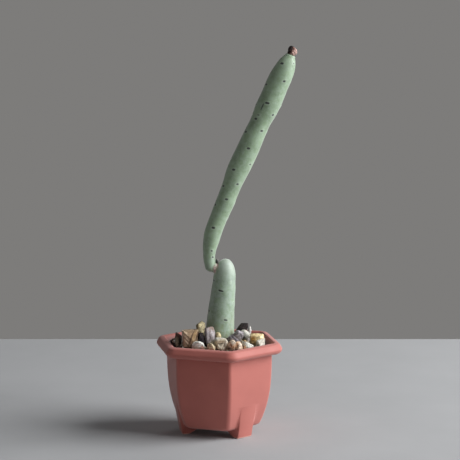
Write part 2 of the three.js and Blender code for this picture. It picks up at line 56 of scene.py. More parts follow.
def place(across, away, height):
    # The upright plane of the lean: x = axis + across cos t - away sin t,
    # y = across sin t + away cos t and z = height
    across, away, height = np.broadcast_arrays(across, away, height)
    x = potAxis + across * math.cos(leanTurn) - away * math.sin(leanTurn)
    return np.stack([x, across * math.sin(leanTurn) + away * math.cos(leanTurn), height], -1)


def smoothLine(points, count):
    # A smooth curve through its points, between b and c of the neighbours a, b, c and d:
    # 0.5 (2 b + (c - a) t + (2 a - 5 b + 4 c - d) t^2 + (3 b - a - 3 c + d) t^3)
    rows = np.asarray(points, float)
    padded = np.vstack([2 * rows[0] - rows[1], rows, 2 * rows[-1] - rows[-2]])
    at = np.linspace(0, len(rows) - 1, count)
    span = np.minimum(at.astype(int), len(rows) - 2)
    t = (at - span)[:, None]
    a, b, c, d = (padded[span + k] for k in range(4))
    return 0.5 * (2 * b + (c - a) * t + (2 * a - 5 * b + 4 * c - d) * t**2 + (3 * b - a - 3 * c + d) * t**3)


def ripples(points, size, seed, waves=14):
    # Soft bumps of about -1 to 1: twice the mean of sin(k . p + phase) over wave vectors k,
    # which have drawn directions and are about 2 pi / size long
    draw = np.random.default_rng(seed)
    heading = draw.normal(size=(waves, 3))
    length = (2 * np.pi / size) * draw.uniform(0.6, 1.5, (waves, 1))
    heading *= length / np.linalg.norm(heading, axis=1, keepdims=True)
    phase = draw.uniform(0, 2 * np.pi, waves)
    return np.sin(points @ heading.T + phase).mean(-1) * 2


def loft(grid, ring=False):
    # Four-sided faces between neighbours of a grid that wraps round its second direction.
    # Its end rows close in a fan on their middle, or on each other if ring.
    rows, cols = grid.shape[:2]
    i, j = np.meshgrid(np.arange(rows if ring else rows - 1), np.arange(cols), indexing="ij")
    up, right = (i + 1) % rows, (j + 1) % cols
    quads = np.stack([i * cols + j, i * cols + right, up * cols + right, up * cols + j], -1).reshape(-1, 4)
    points = grid.reshape(-1, 3)
    if ring:
        return points, quads, np.zeros((0, 3), int)
    around = np.arange(cols)
    turned = (around + 1) % cols
    first, last = rows * cols, rows * cols + 1
    start = np.stack([turned, around, np.full(cols, first)], -1)
    end = np.stack([around, turned, np.full(cols, 0)], -1) + (rows - 1) * cols
    end[:, 2] = last
    return np.vstack([points, grid[0].mean(0), grid[-1].mean(0)]), quads, np.vstack([start, end])


def headings(rows, sides):
    # Unit directions of a globe without its poles: (cos e cos a, cos e sin a, sin e)
    rise = np.linspace(-np.pi / 2, np.pi / 2, rows + 2)[1:-1, None]
    turn = np.linspace(-np.pi, np.pi, sides, endpoint=False)[None, :]
    return np.stack([np.cos(rise) * np.cos(turn), np.cos(rise) * np.sin(turn), np.sin(rise) + 0 * turn], -1)


def buildMesh(name, shape):
    # Faces are turned outwards by the sign of the volume, the sum of a . (b x c) / 6 over the triangles
    points, quads, fans = shape
    triangles = np.vstack([quads[:, [0, 1, 2]], quads[:, [0, 2, 3]], fans])
    a, b, c = (points[triangles[:, k]] for k in range(3))
    if np.einsum("ij,ij->i", a, np.cross(b, c)).sum() < 0:
        quads, fans = quads[:, ::-1], fans[:, ::-1]
    mesh = bpy.data.meshes.new(name)
    mesh.from_pydata(points * mm, [], quads.tolist() + fans.tolist())
    mesh.polygons.foreach_set("use_smooth", np.ones(len(mesh.polygons), bool))
    mesh.validate()
    piece = bpy.data.objects.new(name, mesh)
    bpy.context.collection.objects.link(piece)
    return piece


def blobMesh(name, at, reach):
    # A body around a point of the lean's plane, from the grid of its reach in each direction
    across, away, up = reach[..., 0], reach[..., 1], reach[..., 2]
    return buildMesh(name, loft(place(at["across"] + across, away, at["height"] + up)))


def meshPoints(mesh):
    # The points of a mesh in millimetres
    points = np.empty(len(mesh.vertices) * 3)
    mesh.vertices.foreach_get("co", points)
    return points.reshape(-1, 3) / mm


def leanSpots(mesh, start):
    # Its points as distances from a starting point: towards the lean, away from the front, and up
    spot = meshPoints(mesh) - start
    across = spot[:, 0] * math.cos(leanTurn) + spot[:, 1] * math.sin(leanTurn)
    away = spot[:, 1] * math.cos(leanTurn) - spot[:, 0] * math.sin(leanTurn)
    return across, away, spot[:, 2]


def dress(piece, material, slotName, *nodes):
    # The piece gets its material, its body and the nodes that it replaces; slotName is not used
    piece.data.materials.clear()
    piece.data.materials.append(material)
    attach(piece, "root")
    if nodes:
        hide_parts(*nodes)
    return piece


def unite(piece, others):
    # The other bodies are joined to the piece as a union, and the result becomes the piece's mesh
    for other in others:
        union = piece.modifiers.new("union", "BOOLEAN")
        union.operation, union.solver, union.object = "UNION", "MANIFOLD", other
    view = bpy.context.evaluated_depsgraph_get()
    mesh = bpy.data.meshes.new_from_object(piece.evaluated_get(view))
    piece.modifiers.clear()
    piece.data = mesh
    for other in others:
        bpy.data.objects.remove(other)
    return piece


def paint(piece, name, values):
    # One number for each point of the mesh, which a material reads by its name
    layer = piece.data.attributes.new(name, "FLOAT", "POINT")
    layer.data.foreach_set("value", np.asarray(values, np.float32))


def paintTones(piece, name, values):
    # The same with a colour and its cover for each point
    layer = piece.data.attributes.new(name, "FLOAT_COLOR", "POINT")
    layer.data.foreach_set("color", np.asarray(values, np.float32).ravel())


# Materials

def newMaterial(name, **fixed):
    # The values that are the same all over go on the shader's own sockets
    material = bpy.data.materials.new(name)
    material.use_nodes = True
    tree = material.node_tree
    shader = next(n for n in tree.nodes if n.type == "BSDF_PRINCIPLED")
    for socket, value in fixed.items():
        shader.inputs[socket.replace("_", " ")].default_value = value
    return material, tree, shader


def addNode(tree, kind, inputs=None, **settings):
    made = tree.nodes.new("ShaderNode" + kind)
    for key, value in settings.items():
        setattr(made, key, value)
    for key, value in (inputs or {}).items():
        if isinstance(value, bpy.types.NodeSocket):
            tree.links.new(value, made.inputs[key])
        else:
            made.inputs[key].default_value = value
    return made


def coordinates(tree, turn=(0, 0, 0), stretch=(1, 1, 1)):
    source = addNode(tree, "TexCoord").outputs["Object"]
    angles = tuple(math.radians(part) for part in turn)
    inputs = {"Vector": source, "Rotation": angles, "Scale": stretch}
    return addNode(tree, "Mapping", inputs).outputs["Vector"]


def noise(tree, where, size, detail=4, roughness=0.55, distortion=0):
    # size is the width of one patch in millimetres
    inputs = {"Vector": where, "Scale": 1 / (size * mm), "Detail": detail}
    inputs.update({"Roughness": roughness, "Distortion": distortion})
    return addNode(tree, "TexNoise", inputs).outputs["Fac"]


def heightShare(tree, where, start, end):
    # Rises from 0 to 1 between two heights in millimetres
    height = addNode(tree, "SeparateXYZ", {"Vector": where}).outputs["Z"]
    inputs = {"Value": height, "From Min": start * mm, "From Max": end * mm}
    return addNode(tree, "MapRange", inputs).outputs["Result"]


def painted(tree, name):
    return addNode(tree, "Attribute", attribute_name=name).outputs["Fac"]


def ramp(tree, factor, stops, smooth=False):
    made = addNode(tree, "ValToRGB", {"Fac": factor})
    elements = made.color_ramp.elements
    made.color_ramp.interpolation = "EASE" if smooth else "LINEAR"
    while len(elements) < len(stops):
        elements.new(0.5)
    for element, (position, tone) in zip(elements, stops):
        element.position = position
        element.color = (*tone, 1) if np.ndim(tone) else (tone, tone, tone, 1)
    return made.outputs["Color"]


def blendTones(tree, factor, low, high, how="MIX"):
    made = addNode(tree, "Mix", data_type="RGBA", blend_type=how)
    for socket, value in zip((made.inputs[0], made.inputs[6], made.inputs[7]), (factor, low, high)):
        if isinstance(value, bpy.types.NodeSocket):
            tree.links.new(value, socket)
        else:
            socket.default_value = (*value, 1) if np.ndim(value) else value
    return made.outputs[2]


def bump(tree, shader, height, depth, before=None):
    # depth is the height of the relief in millimetres
    inputs = {"Height": height, "Distance": depth * mm, "Strength": 1.0}
    if before:
        inputs["Normal"] = before
    made = addNode(tree, "Bump", inputs).outputs["Normal"]
    tree.links.new(made, shader.inputs["Normal"])
    return made


# Pot

pot = {
    # an apothem is the distance from the axis to a flat side, in mm as all lengths here
    "rim": {"apothem": 33.5, "wideHeight": 50.3, "rounding": 7.5, "crestApothem": 29.6, "crestHeight": 53.7},
    "lip": {"apothem": 31.9, "height": 47.7},
    "wallThickness": 1.5,
    "neck": {"apothem": 27.7, "rounding": 2.2, "belowLip": 0.4},
    "heel": {"apothem": 20.9, "height": 4.7, "rounding": 3.6, "turn": 2.6},
    "heelCurve": {"start": 5, "flatPull": 2.4, "wallPull": 1.6, "steps": 12},
    "bellyPower": 3.0,
    "leastRounding": 0.5,
    "drainRadius": 5,
    "spokesInCorner": 15,
    "spokesOnSide": 6,
    "wallRows": 60,
    "rimRows": 90,
    "sharpAngle": 38,
    "innerShade": {"belowCrest": 0.6, "fade": 3.0},  # painted shade on the wall's inner side
    "tone": (0.41, 0.070, 0.043),
    "paleTone": (0.46, 0.088, 0.058),
    "edgeHighlightTone": (0.75, 0.42, 0.34),
    "innerShadeTone": (0.19, 0.050, 0.038),
    "tintFade": (0.9, 0.1),  # the heights where the painted highlight along the feet's lower edge starts and is full
    "roughness": (0.50, 0.58),
    "finish": {"Specular_IOR_Level": 0.4, "Sheen_Weight": 0.23, "Sheen_Roughness": 0.9},
}
feet = {
    "angles": (-30, 90, 210),
    "reach": 22.2,
    "bend": {"apothem": 26.4, "height": 22},
    "top": 23.5,
    "fadeFrom": 12.5,
    "halfWidth": {"floor": 5.35, "top": 5.9},
    "arch": {"apothems": (19.0, 16.6, 13.2, 10.4), "heights": (0.0, 1.3, 3.3, 5.5)},
    "sole": {"heights": (0, 0.12, 0.35), "tucks": (0.35, 0.12, 0)},  # softens the lower edge
    "edge": 0.7,
    "sunk": 0.05,  # how far the faded face lies inside the wall
    "flare": {"width": 1.1, "power": 2.2, "standsFrom": 0.9, "aboveHeel": 1.5},
    "archRows": (0.8, 5.4, 12),  # first and last height, and count
    "wallRows": (5.6, 60),  # first height and count, up to the top
    "cornerSteps": 7,
    "side": {"steps": 14, "power": 1.5},  # the steps draw together towards the foot's inner end
}


def hexRadius(apothem, rounding, degrees):
    # On a flat side r = apothem / cos(30 - t), and on the rounded corner
    # r = m cos t + sqrt(rounding^2 - (m sin t)^2), with t the angle from the corner and
    # m = (apothem - rounding) / cos 30
    fromCorner = np.abs((degrees + 30) % 60 - 30)
    turn = np.radians(fromCorner)
    middle = (apothem - rounding) / math.cos(math.pi / 6)
    rounded = middle * np.cos(turn) + np.sqrt(np.maximum(rounding**2 - (middle * np.sin(turn)) ** 2, 0))
    return np.where(fromCorner >= roundingEnd(apothem, rounding), apothem / np.cos(np.pi / 6 - turn), rounded)


def roundingEnd(apothem, rounding):
    # The angle from the corner where the flat side starts: tan t = (rounding / 2) / (m + rounding cos 30)
    middle = (apothem - rounding) / math.cos(math.pi / 6)
    return np.degrees(np.arctan2(rounding / 2, middle + rounding * math.cos(math.pi / 6)))


def wallAt(height):
    # apothem = heel + (neck - heel) (1 - (1 - s)^bellyPower), with s from 0 at the heel to 1 at the lip
    heel, neck = pot["heel"], pot["neck"]
    share = np.clip((height - heel["height"]) / (pot["lip"]["height"] - heel["height"]), 0, 1)
    swell = 1 - (1 - share) ** pot["bellyPower"]
    apothem = heel["apothem"] + (neck["apothem"] - heel["apothem"]) * swell
    return apothem, heel["rounding"] + (neck["rounding"] - heel["rounding"]) * share


def wallOutline(inset):
    # The wall's side view, moved in by the inset along its normal: from the flat bottom round a curve
    # that its two inner knots pull, (1 - t)^3 a + 3 (1 - t)^2 t b + 3 (1 - t) t^2 c + t^3 d, and up
    bottom, curve = pot["heel"]["height"], pot["heelCurve"]
    turnStart = bottom + pot["heel"]["turn"]
    start, below = wallAt(turnStart)[0], wallAt(turnStart - 1)[0]
    t = np.linspace(0, 1, curve["steps"], endpoint=False)[:, None]
    knots = np.array([
        [start - curve["start"], bottom], [start - curve["flatPull"], bottom],
        [start - (start - below) * curve["wallPull"], turnStart - curve["wallPull"]], [start, turnStart],
    ])
    heelTurn = ((1 - t) ** 3 * knots[0] + 3 * (1 - t) ** 2 * t * knots[1]
                + 3 * (1 - t) * t**2 * knots[2] + t**3 * knots[3])
    heights = np.linspace(turnStart, pot["lip"]["height"] - pot["neck"]["belowLip"], pot["wallRows"])
    outline = np.vstack([heelTurn, np.stack([wallAt(heights)[0], heights], -1)])
    along = np.gradient(outline, axis=0)
    along /= np.linalg.norm(along, axis=1, keepdims=True)
    rounding = np.maximum(wallAt(outline[:, 1])[1] - inset, pot["leastRounding"])
    moved = np.column_stack([outline[:, 0] - along[:, 1] * inset, outline[:, 1] + along[:, 0] * inset])
    return np.column_stack([moved, rounding])


def potProfile():
    # Rows of apothem, height and corner rounding: up the outer wall, under the lip, round the rolled rim,
    # over its crest, down the inner wall and through the drain hole
    rim, lip, neck = pot["rim"], pot["lip"], pot["neck"]
    roll = smoothLine([
        (neck["apothem"] + 0.05, lip["height"] + 0.1), (neck["apothem"] + 0.9, lip["height"] + 0.5),
        (lip["apothem"] - 1.6, lip["height"] + 0.25), (lip["apothem"] - 0.3, lip["height"] - 0.05),
        (lip["apothem"] + 0.75, lip["height"] + 0.55), (rim["apothem"] - 0.2, lip["height"] + 1.5),
        (rim["apothem"], rim["wideHeight"]), (rim["apothem"] - 0.75, rim["wideHeight"] + 1.6),
        (rim["crestApothem"] + 2.2, rim["crestHeight"] - 0.55), (rim["crestApothem"], rim["crestHeight"]),
        (rim["crestApothem"] - 1.1, rim["crestHeight"] - 0.75),
        (rim["crestApothem"] - 1.9, rim["crestHeight"] - 2.3),
        (neck["apothem"] - pot["wallThickness"] - 0.1, lip["height"] + 1.6),
    ], pot["rimRows"])
    share = (roll[:, 0] - neck["apothem"]) / (rim["apothem"] - neck["apothem"])
    rounding = neck["rounding"] + (rim["rounding"] - neck["rounding"]) * np.clip(share, 0, 1)
    hole, bottom = pot["drainRadius"], pot["heel"]["height"]
    drain = np.array([[hole, bottom + pot["wallThickness"], hole], [hole, bottom, hole]])
    inner = wallOutline(pot["wallThickness"])[::-1]
    return np.vstack([wallOutline(0), np.column_stack([roll, rounding]), inner, drain])


def potShell():
    # Each point of the profile goes round as a hexagon with rounded corners: x = r cos a, y = r sin a
    apothem, height, rounding = potProfile().T[:, :, None]
    inCorner = np.linspace(-1, 1, pot["spokesInCorner"])
    onSide = np.linspace(0, 1, pot["spokesOnSide"] + 2)[1:-1]
    end = roundingEnd(apothem, rounding)
    sector = np.hstack([inCorner * end, end + onSide * (60 - 2 * end)])
    degrees = np.hstack([sector + corner for corner in range(0, 360, 60)])
    radius = hexRadius(apothem, rounding, degrees)
    turn = np.radians(degrees)
    points = np.stack([potAxis + radius * np.cos(turn), radius * np.sin(turn), height + 0 * radius], -1)
    shell = buildMesh("potShell", loft(points, ring=True))
    # painted shade darkens the rows that come after the crest, fading out towards it
    inner = np.arange(len(height))[:, None] > np.argmax(height)
    shadeTop = pot["rim"]["crestHeight"] - pot["innerShade"]["belowCrest"]
    shadeShare = np.clip((shadeTop - height) / pot["innerShade"]["fade"], 0, 1) * inner
    paint(shell, "inside", (shadeShare + 0 * radius).ravel())
    return shell


def foot(degrees):
    # A tower of level sections: a face across, rounded corners, sides that flare into the wall by
    # width (1 - s)^power, and an inner end that follows the arch and then stays inside the wall.
    sole, arch, flare, edge = feet["sole"], feet["arch"], feet["flare"], feet["edge"]
    wallStart, wallRows = feet["wallRows"]
    upTheWall = np.linspace(wallStart, feet["top"], wallRows)
    heights = np.concatenate([sole["heights"], np.linspace(*feet["archRows"]), upTheWall])
    wall = wallAt(heights)[0]
    straight = feet["reach"] + (feet["bend"]["apothem"] - feet["reach"]) * heights / feet["bend"]["height"]
    fade = np.clip((heights - feet["fadeFrom"]) / (feet["top"] - feet["fadeFrom"]), 0, 1)
    face = wall - feet["sunk"] * fade + (straight - wall) * (1 - fade**2 * (3 - 2 * fade))
    inner = np.interp(heights, arch["heights"], arch["apothems"])
    inner = np.where(heights > arch["heights"][-1], wall - pot["wallThickness"] / 2, inner)
    half = np.interp(heights, [0, feet["top"]], [feet["halfWidth"]["floor"], feet["halfWidth"]["top"]])
    tuck = np.interp(heights, sole["heights"], sole["tucks"])
    face, half, inner = face - tuck, half - tuck, inner + tuck
    corner = np.linspace(0, np.pi / 2, feet["cornerSteps"])
    side = np.linspace(0, 1, feet["side"]["steps"])[:, None] ** feet["side"]["power"]
    sideReach = inner + (face - edge - inner) * side
    cornerReach = face - edge + edge * np.sin(corner)[:, None]
    reach = np.vstack([sideReach, cornerReach[1:], cornerReach[::-1][1:-1], sideReach[::-1]])
    cornerAcross = half - edge + edge * np.cos(corner)[:, None]
    sideAcross = half + 0 * sideReach
    across = np.vstack([sideAcross, cornerAcross[1:], -cornerAcross[::-1][1:-1], -sideAcross])
    above = np.clip((reach - wall + feet["sunk"]) / flare["width"], 0, 1)
    clear = np.clip((heights - pot["heel"]["height"]) / flare["aboveHeel"], 0, 1)
    standing = np.clip((face - wall) / flare["standsFrom"], 0, 1) * clear
    across = across + np.sign(across) * (flare["width"] * (1 - above) ** flare["power"] * standing)
    turn = math.radians(degrees)
    reach, across = reach.T, across.T
    x = potAxis + reach * math.cos(turn) - across * math.sin(turn)
    y = reach * math.sin(turn) + across * math.cos(turn)
    return buildMesh(f"foot{degrees}", loft(np.stack([x, y, heights[:, None] + 0 * x], -1)))


def potMaterial():
    # Terracotta plastic in two close tones, with a painted highlight at the lower edge of the feet and
    # painted shade inside
    material, tree, shader = newMaterial("mouldedTerracotta", **pot["finish"])
    where = coordinates(tree)
    clouds = noise(tree, where, 22, 2)
    tone = ramp(tree, clouds, [(0.30, pot["tone"]), (0.75, pot["paleTone"])], smooth=True)
    # a pale band at the feet's lower edge is a painted highlight
    tone = blendTones(tree, heightShare(tree, where, *pot["tintFade"]), tone, pot["edgeHighlightTone"])
    # the inner wall gets painted shade
    tone = blendTones(tree, painted(tree, "inside"), tone, pot["innerShadeTone"])
    tree.links.new(tone, shader.inputs["Base Color"])
    smoother, rougher = pot["roughness"]
    roughness = ramp(tree, noise(tree, where, 5, 5), [(0.3, smoother), (0.7, rougher)])
    tree.links.new(roughness, shader.inputs["Roughness"])
    grain = bump(tree, shader, noise(tree, where, 0.5, 3), 0.012)
    bump(tree, shader, noise(tree, where, 9, 2), 0.05, grain)
    return material


def makePot():
    # The shell and its feet as one body, with only its hard edges left sharp
    shell = unite(potShell(), [foot(degrees) for degrees in feet["angles"]])
    shell.name = shell.data.name = "potBody"
    shell.data.set_sharp_from_angle(angle=math.radians(pot["sharpAngle"]))
    return dress(shell, potMaterial(), "pot", "pot")


makePot()
print("pot: one moulded shell on three feet")


# Stem

stump = {
    # rows of towards the lean, radius, height
    "line": [
        (0.2, 7.5, 31.5), (0.3, 8.3, 42.5), (0.5, 8.3, 54.5), (0.8, 8.0, 62), (1.4, 7.5, 70.5),
        (2.1, 7.1, 77.2), (2.7, 6.8, 83.2), (3.1, 6.4, 88),
    ],
    "seed": 11,
    "footCap": 4.5,
    "endCap": 12.4,
    "rows": 210,
    "sides": 110,
    # leaf scars: height, degrees from the front towards the lean side, and width and darkness
    # as shares of the usual
    "scars": [
        (87.7, -66, 1.0, 1.0), (87.9, 32, 1.3, 0.3), (83, -13, 1.55, 1.0), (76.2, 61, 0.7, 0.5),
        (70.4, -65, 1.0, 0.9), (66.3, 21, 1.15, 1.0),
    ],
    "slot": (1.0, 0.48),  # half width and half height of a scar's slot
}
branch = {
    "line": [
        (-4.7, 3.2, 96.1), (-5.4, 3.3, 99.6), (-5.5, 3.45, 102.8), (-5.1, 4.05, 107.2), (-4.3, 4.6, 111.1),
        (-3.1, 4.9, 116), (-0.1, 4.9, 124), (3.1, 5.25, 131.5), (5.3, 5.25, 137.2), (7.6, 5.4, 143.2),
        (9.8, 6.0, 148.8), (12.4, 6.3, 154.4), (16.2, 6.25, 162.5), (20.0, 6.0, 171), (23.3, 5.75, 178.2),
        (26.6, 6.45, 185.2), (29.9, 6.55, 192.2), (33.1, 6.4, 200), (35.4, 6.25, 204.8), (37.3, 5.65, 208.8),
        (38.8, 4.6, 212.4), (40.1, 3.0, 215.3),
    ],
    "footCap": 3.2,
    "endCap": 1.3,
    "rows": 470,
    "sides": 96,
    "scars": [
        (210.6, -33, 1.2, 1.0), (212.9, 46, 0.8, 0.6), (202.9, 22, 1.0, 1.0), (197.5, -64, 1.5, 0.8),
        (188.9, -12, 1.6, 1.0), (185.7, -73, 0.8, 0.7), (184.6, 43, 0.9, 1.0), (181.6, -28, 1.2, 0.5),
        (179.3, -34, 1.1, 1.0), (175, 26, 1.1, 0.9), (170.9, -59, 1.3, 0.9), (164.1, -2, 1.15, 1.0),
        (156.7, 46, 0.9, 0.7), (151, -25, 1.2, 1.0), (144.7, 27, 1.0, 0.8), (140.9, -55, 1.2, 0.9),
        (135.1, -2, 1.1, 1.0), (129.7, -64, 1.1, 0.9), (125.3, 66, 0.8, 0.4), (118.6, -11, 1.2, 1.0),
        (105.5, 18, 0.9, 0.7), (101.7, 36, 0.8, 0.9),
    ],
    "slot": (0.80, 0.56),
    "seed": 23,
    "split": {"height": 186.3, "degrees": -27, "around": 0.5, "along": 2.2, "dark": 0.64},  # a healed crack
}
farSide = {"turn": 168, "lift": 4.3}  # the far half has the same scars, turned and a little higher
scarPad = {"around": 1.7, "along": 1.25, "reach": 6, "proud": 0.30, "slotDepth": 0.28, "tilt": 0.22}
limbShape = {
    "steps": 1600,
    "capPower": 2.2,
    "capEnd": 0.0004,  # keeps the last row of a cap from closing on itself
    "wide": (0.009, 14),  # swells in the skin, as a share of the radius, and their size
    "fine": (0.004, 4.5),
}
# the swelling where the branch leaves the stump
joint = {
    "across": -2.7, "height": 95.4, "size": (2.6, 3.0, 3.0), "net": (40, 50),
    "uneven": {"depth": 0.04, "globe": 3, "size": 3, "seed": 8},  # ripples of this size on such a globe
}
corky = [
    # patches of cork where the branch broke out: across, height, half width, half height
    (-2.3, 94.6, 0.7, 1.9), (-0.9, 98.0, 0.6, 2.2),
]
corkFade = 1.7  # the cork fades out at this many half sizes
# the dried bud above the joint, and how far past its size it is dark, in the lean's plane and across it
bud = {"across": -1.05, "height": 98.9, "size": (0.8, 0.8, 1.5), "margin": 1.15, "depthMargin": 1.2}
dome = {"edge": -0.8, "softness": 1.2, "start": 88, "fade": 10, "top": 102, "paleness": 0.5}  # the healed end
skin = {
    "deep": (0.135, 0.215, 0.095),
    "leaf": (0.215, 0.325, 0.165),
    "bloom": (0.42, 0.50, 0.465),
    "branchBloom": (0.375, 0.480, 0.375),
    "dome": (0.50, 0.54, 0.50),
    "soilTint": (0.27, 0.28, 0.13),
    "scar": (0.020, 0.026, 0.020),
    "halo": (0.50, 0.60, 0.48),
    "cork": (0.72, 0.54, 0.50),
    "corkLow": (0.42, 0.28, 0.24),
    "young": (92, 106),  # the heights between which the bloom turns to the branch's
    "stained": (72, 52),  # the heights between which the soil's stain grows
    "roughness": (0.50, 0.66),
    "finish": {"Specular_IOR_Level": 0.9, "Sheen_Weight": 0.5, "Sheen_Roughness": 0.45},
}


def measuredLine(values):
    # The limb's smooth line, with the length from its start at each step
    path = smoothLine(values["line"], limbShape["steps"])
    steps = np.linalg.norm(np.diff(path[:, [0, 2]], axis=0), axis=1)
    return path, np.concatenate([[0], np.cumsum(steps)])


def limb(values):
    # A round limb along a line: its surface is middle + radius (outward cos a + away sin a).
    # Past its ends by a share t of the cap's length the radius shrinks by sqrt(1 - t^capPower).
    path, length = measuredLine(values)
    total, first, last = length[-1], values["footCap"], values["endCap"]
    at = np.linspace(-first, total + last, values["rows"])
    across, radius, height = (np.interp(at, length, path[:, k]) for k in range(3))
    alongAcross, alongUp = (np.interp(at, length, np.gradient(path[:, k], length)) for k in (0, 2))
    size = np.hypot(alongAcross, alongUp)
    alongAcross, alongUp = alongAcross / size, alongUp / size
    over = np.where(at < 0, at, np.maximum(at - total, 0))
    cap = np.where(at < 0, first, last)
    left = 1 - np.abs(over / cap) ** limbShape["capPower"]
    radius = radius * np.sqrt(np.maximum(left, limbShape["capEnd"]))
    across, height = across + alongAcross * over, height + alongUp * over
    turn = np.linspace(-np.pi, np.pi, values["sides"], endpoint=False)
    return at, np.stack([across, height, alongAcross, alongUp, radius], -1)[:, :, None], turn


def scarsOn(values):
    # Each scar as its place along the limb and its angle, 0 towards the lean and -90 in front
    path, length = measuredLine(values)
    near = np.array(values["scars"], float)
    far = near + [farSide["lift"], farSide["turn"], 0, 0]
    rows = np.vstack([near, far[far[:, 0] < path[-1, 2]]])
    places = np.interp(rows[:, 0], path[:, 2], length)
    return zip(places, np.radians(rows[:, 1] - 90), rows[:, 2], rows[:, 3])


def limbPiece(name, values):
    # One limb with its scars raised, cut and marked for the skin, and soft swells all over
    at, axis, turn = limb(values)
    across, height, alongAcross, alongUp, radius = (axis[:, k] for k in range(5))
    outward, away = np.cos(turn)[None, :], np.sin(turn)[None, :]

    def skinAt(reach):
        return place(across + alongUp * reach * outward, reach * away, height - alongAcross * reach * outward)

    base = skinAt(radius)
    mark, halo, relief = (np.zeros((len(at), len(turn))) for _ in range(3))
    slotAround, slotAlong = values["slot"]
    for middle, angle, wide, dark in scarsOn(values):
        # a soft raised pad, exp(-(u^2 + v^2)), and a slot across it that dips towards the lean,
        # exp(-(u^4 + v^2))
        fromScar = (turn - angle + np.pi) % (2 * np.pi) - np.pi
        row = np.argmin(np.abs(at - middle))
        u = fromScar[None, :] * radius
        v = base[..., 2] - (height - alongAcross * radius * math.cos(angle))[row]
        near = np.abs(at - middle)[:, None] < scarPad["reach"]
        pad = np.exp(-((u / scarPad["around"]) ** 2 + (v / scarPad["along"]) ** 2)) * near
        dip = v - scarPad["tilt"] * math.sin(angle) * u
        slot = np.exp(-((u / (slotAround * wide)) ** 4 + (dip / slotAlong) ** 2)) * near
        relief += scarPad["proud"] * pad - scarPad["slotDepth"] * slot * dark
        mark, halo = np.maximum(mark, slot * dark), np.maximum(halo, pad)
    if "split" in values:
        # the crack runs along the limb, exp(-(u^2 + v^4))
        split = values["split"]
        u = (turn - math.radians(split["degrees"] - 90))[None, :] * radius
        v = (height - split["height"]) / split["along"]
        mark = np.maximum(mark, split["dark"] * np.exp(-((u / split["around"]) ** 2 + v ** 4)))
    (wideShare, wideSize), (fineShare, fineSize) = limbShape["wide"], limbShape["fine"]
    seed = values["seed"]
    swell = 1 + wideShare * ripples(base, wideSize, seed) + fineShare * ripples(base, fineSize, seed + 1)
    piece = buildMesh(name, loft(skinAt(radius * swell + relief)))
    paint(piece, "scar", np.append(mark, [0, 0]))
    paint(piece, "halo", np.append(halo, [0, 0]))
    return piece


def skinMaterial():
    # Mottled leaf green under a waxy bloom, then the healed dome, the soil's stain, the scars and the cork
    material, tree, shader = newMaterial("waxySkin", **skin["finish"])
    where = coordinates(tree)
    clouds = noise(tree, where, 6, 5)
    flecks = noise(tree, where, 1.1, 3, 0.6)
    leaf = ramp(tree, clouds, [(0.34, skin["deep"]), (0.62, skin["leaf"])], smooth=True)
    bloom = ramp(tree, noise(tree, where, 2.6, 6, 0.66, 0.4), [(0.34, 0.22), (0.68, 0.60)], smooth=True)
    waxTone = blendTones(tree, heightShare(tree, where, *skin["young"]), skin["bloom"], skin["branchBloom"])
    tone = blendTones(tree, bloom, leaf, waxTone)
    tone = blendTones(tree, ramp(tree, flecks, [(0.60, 0), (0.74, 0.35)]), tone, skin["bloom"])
    tone = blendTones(tree, painted(tree, "dome"), tone, skin["dome"])
    low = heightShare(tree, where, *skin["stained"])
    patches = ramp(tree, noise(tree, where, 3.5, 4), [(0.42, 0), (0.60, 0.75)])
    stain = addNode(tree, "Math", {0: low, 1: patches}, operation="MULTIPLY").outputs[0]
    tone = blendTones(tree, stain, tone, skin["soilTint"])
    halo = ramp(tree, painted(tree, "halo"), [(0.25, 0), (0.9, 0.45)])
    tone = blendTones(tree, halo, tone, skin["halo"])
    mark = ramp(tree, painted(tree, "scar"), [(0.22, 0), (0.55, 1)])
    tone = blendTones(tree, mark, tone, skin["scar"])
    corkTone = ramp(tree, noise(tree, where, 1.2, 4), [(0.4, skin["corkLow"]), (0.6, skin["cork"])])
    tone = blendTones(tree, painted(tree, "cork"), tone, corkTone)
    tree.links.new(tone, shader.inputs["Base Color"])
    smoother, rougher = skin["roughness"]
    tree.links.new(ramp(tree, flecks, [(0.3, smoother), (0.7, rougher)]), shader.inputs["Roughness"])
    grain = bump(tree, shader, noise(tree, where, 0.7, 4, 0.6), 0.05)
    bump(tree, shader, noise(tree, where, 2.6, 3), 0.12, grain)
    return material


def makeStem():
    # The two limbs, the swelling between them and the bud as one body, marked with its cork and its dome
    way, lumps = headings(*joint["net"]), joint["uneven"]
    uneven = 1 + lumps["depth"] * ripples(way * lumps["globe"], lumps["size"], lumps["seed"])[..., None]
    swelling = blobMesh("joint", joint, way * joint["size"] * uneven)
    stub = blobMesh("bud", bud, way * bud["size"])
    piece = unite(limbPiece("stump", stump), [limbPiece("branch", branch), swelling, stub])
    piece.name = piece.data.name = "leaningStem"
    across, away, up = leanSpots(piece.data, (potAxis, 0, 0))
    cork = [np.hypot((across - x) / wide, (up - z) / tall) for x, z, wide, tall in corky]
    wide, deep, tall = bud["size"]
    onBud = np.hypot((across - bud["across"]) / wide, (up - bud["height"]) / tall) / bud["margin"]
    onBud = np.exp(-(onBud ** 6)) * (np.abs(away) < deep * bud["depthMargin"])
    paint(piece, "cork", np.clip(corkFade - np.min(cork, axis=0), 0, 1) * (1 - onBud))
    onStump = np.clip((across - dome["edge"]) / dome["softness"], 0, 1)
    onDome = np.clip((up - dome["start"]) / dome["fade"], 0, 1) * (up < dome["top"])
    paint(piece, "dome", dome["paleness"] * onStump * onDome)
    # the bud is as dark as a scar
    marks = np.empty(len(up), np.float32)
    layer = piece.data.attributes["scar"].data
    layer.foreach_get("value", marks)
    layer.foreach_set("value", np.maximum(marks, onBud).astype(np.float32))
    return dress(piece, skinMaterial(), "stem", "stem")


makeStem()
print("stem: stump, joint and leaning branch as one body")


# Dried tip

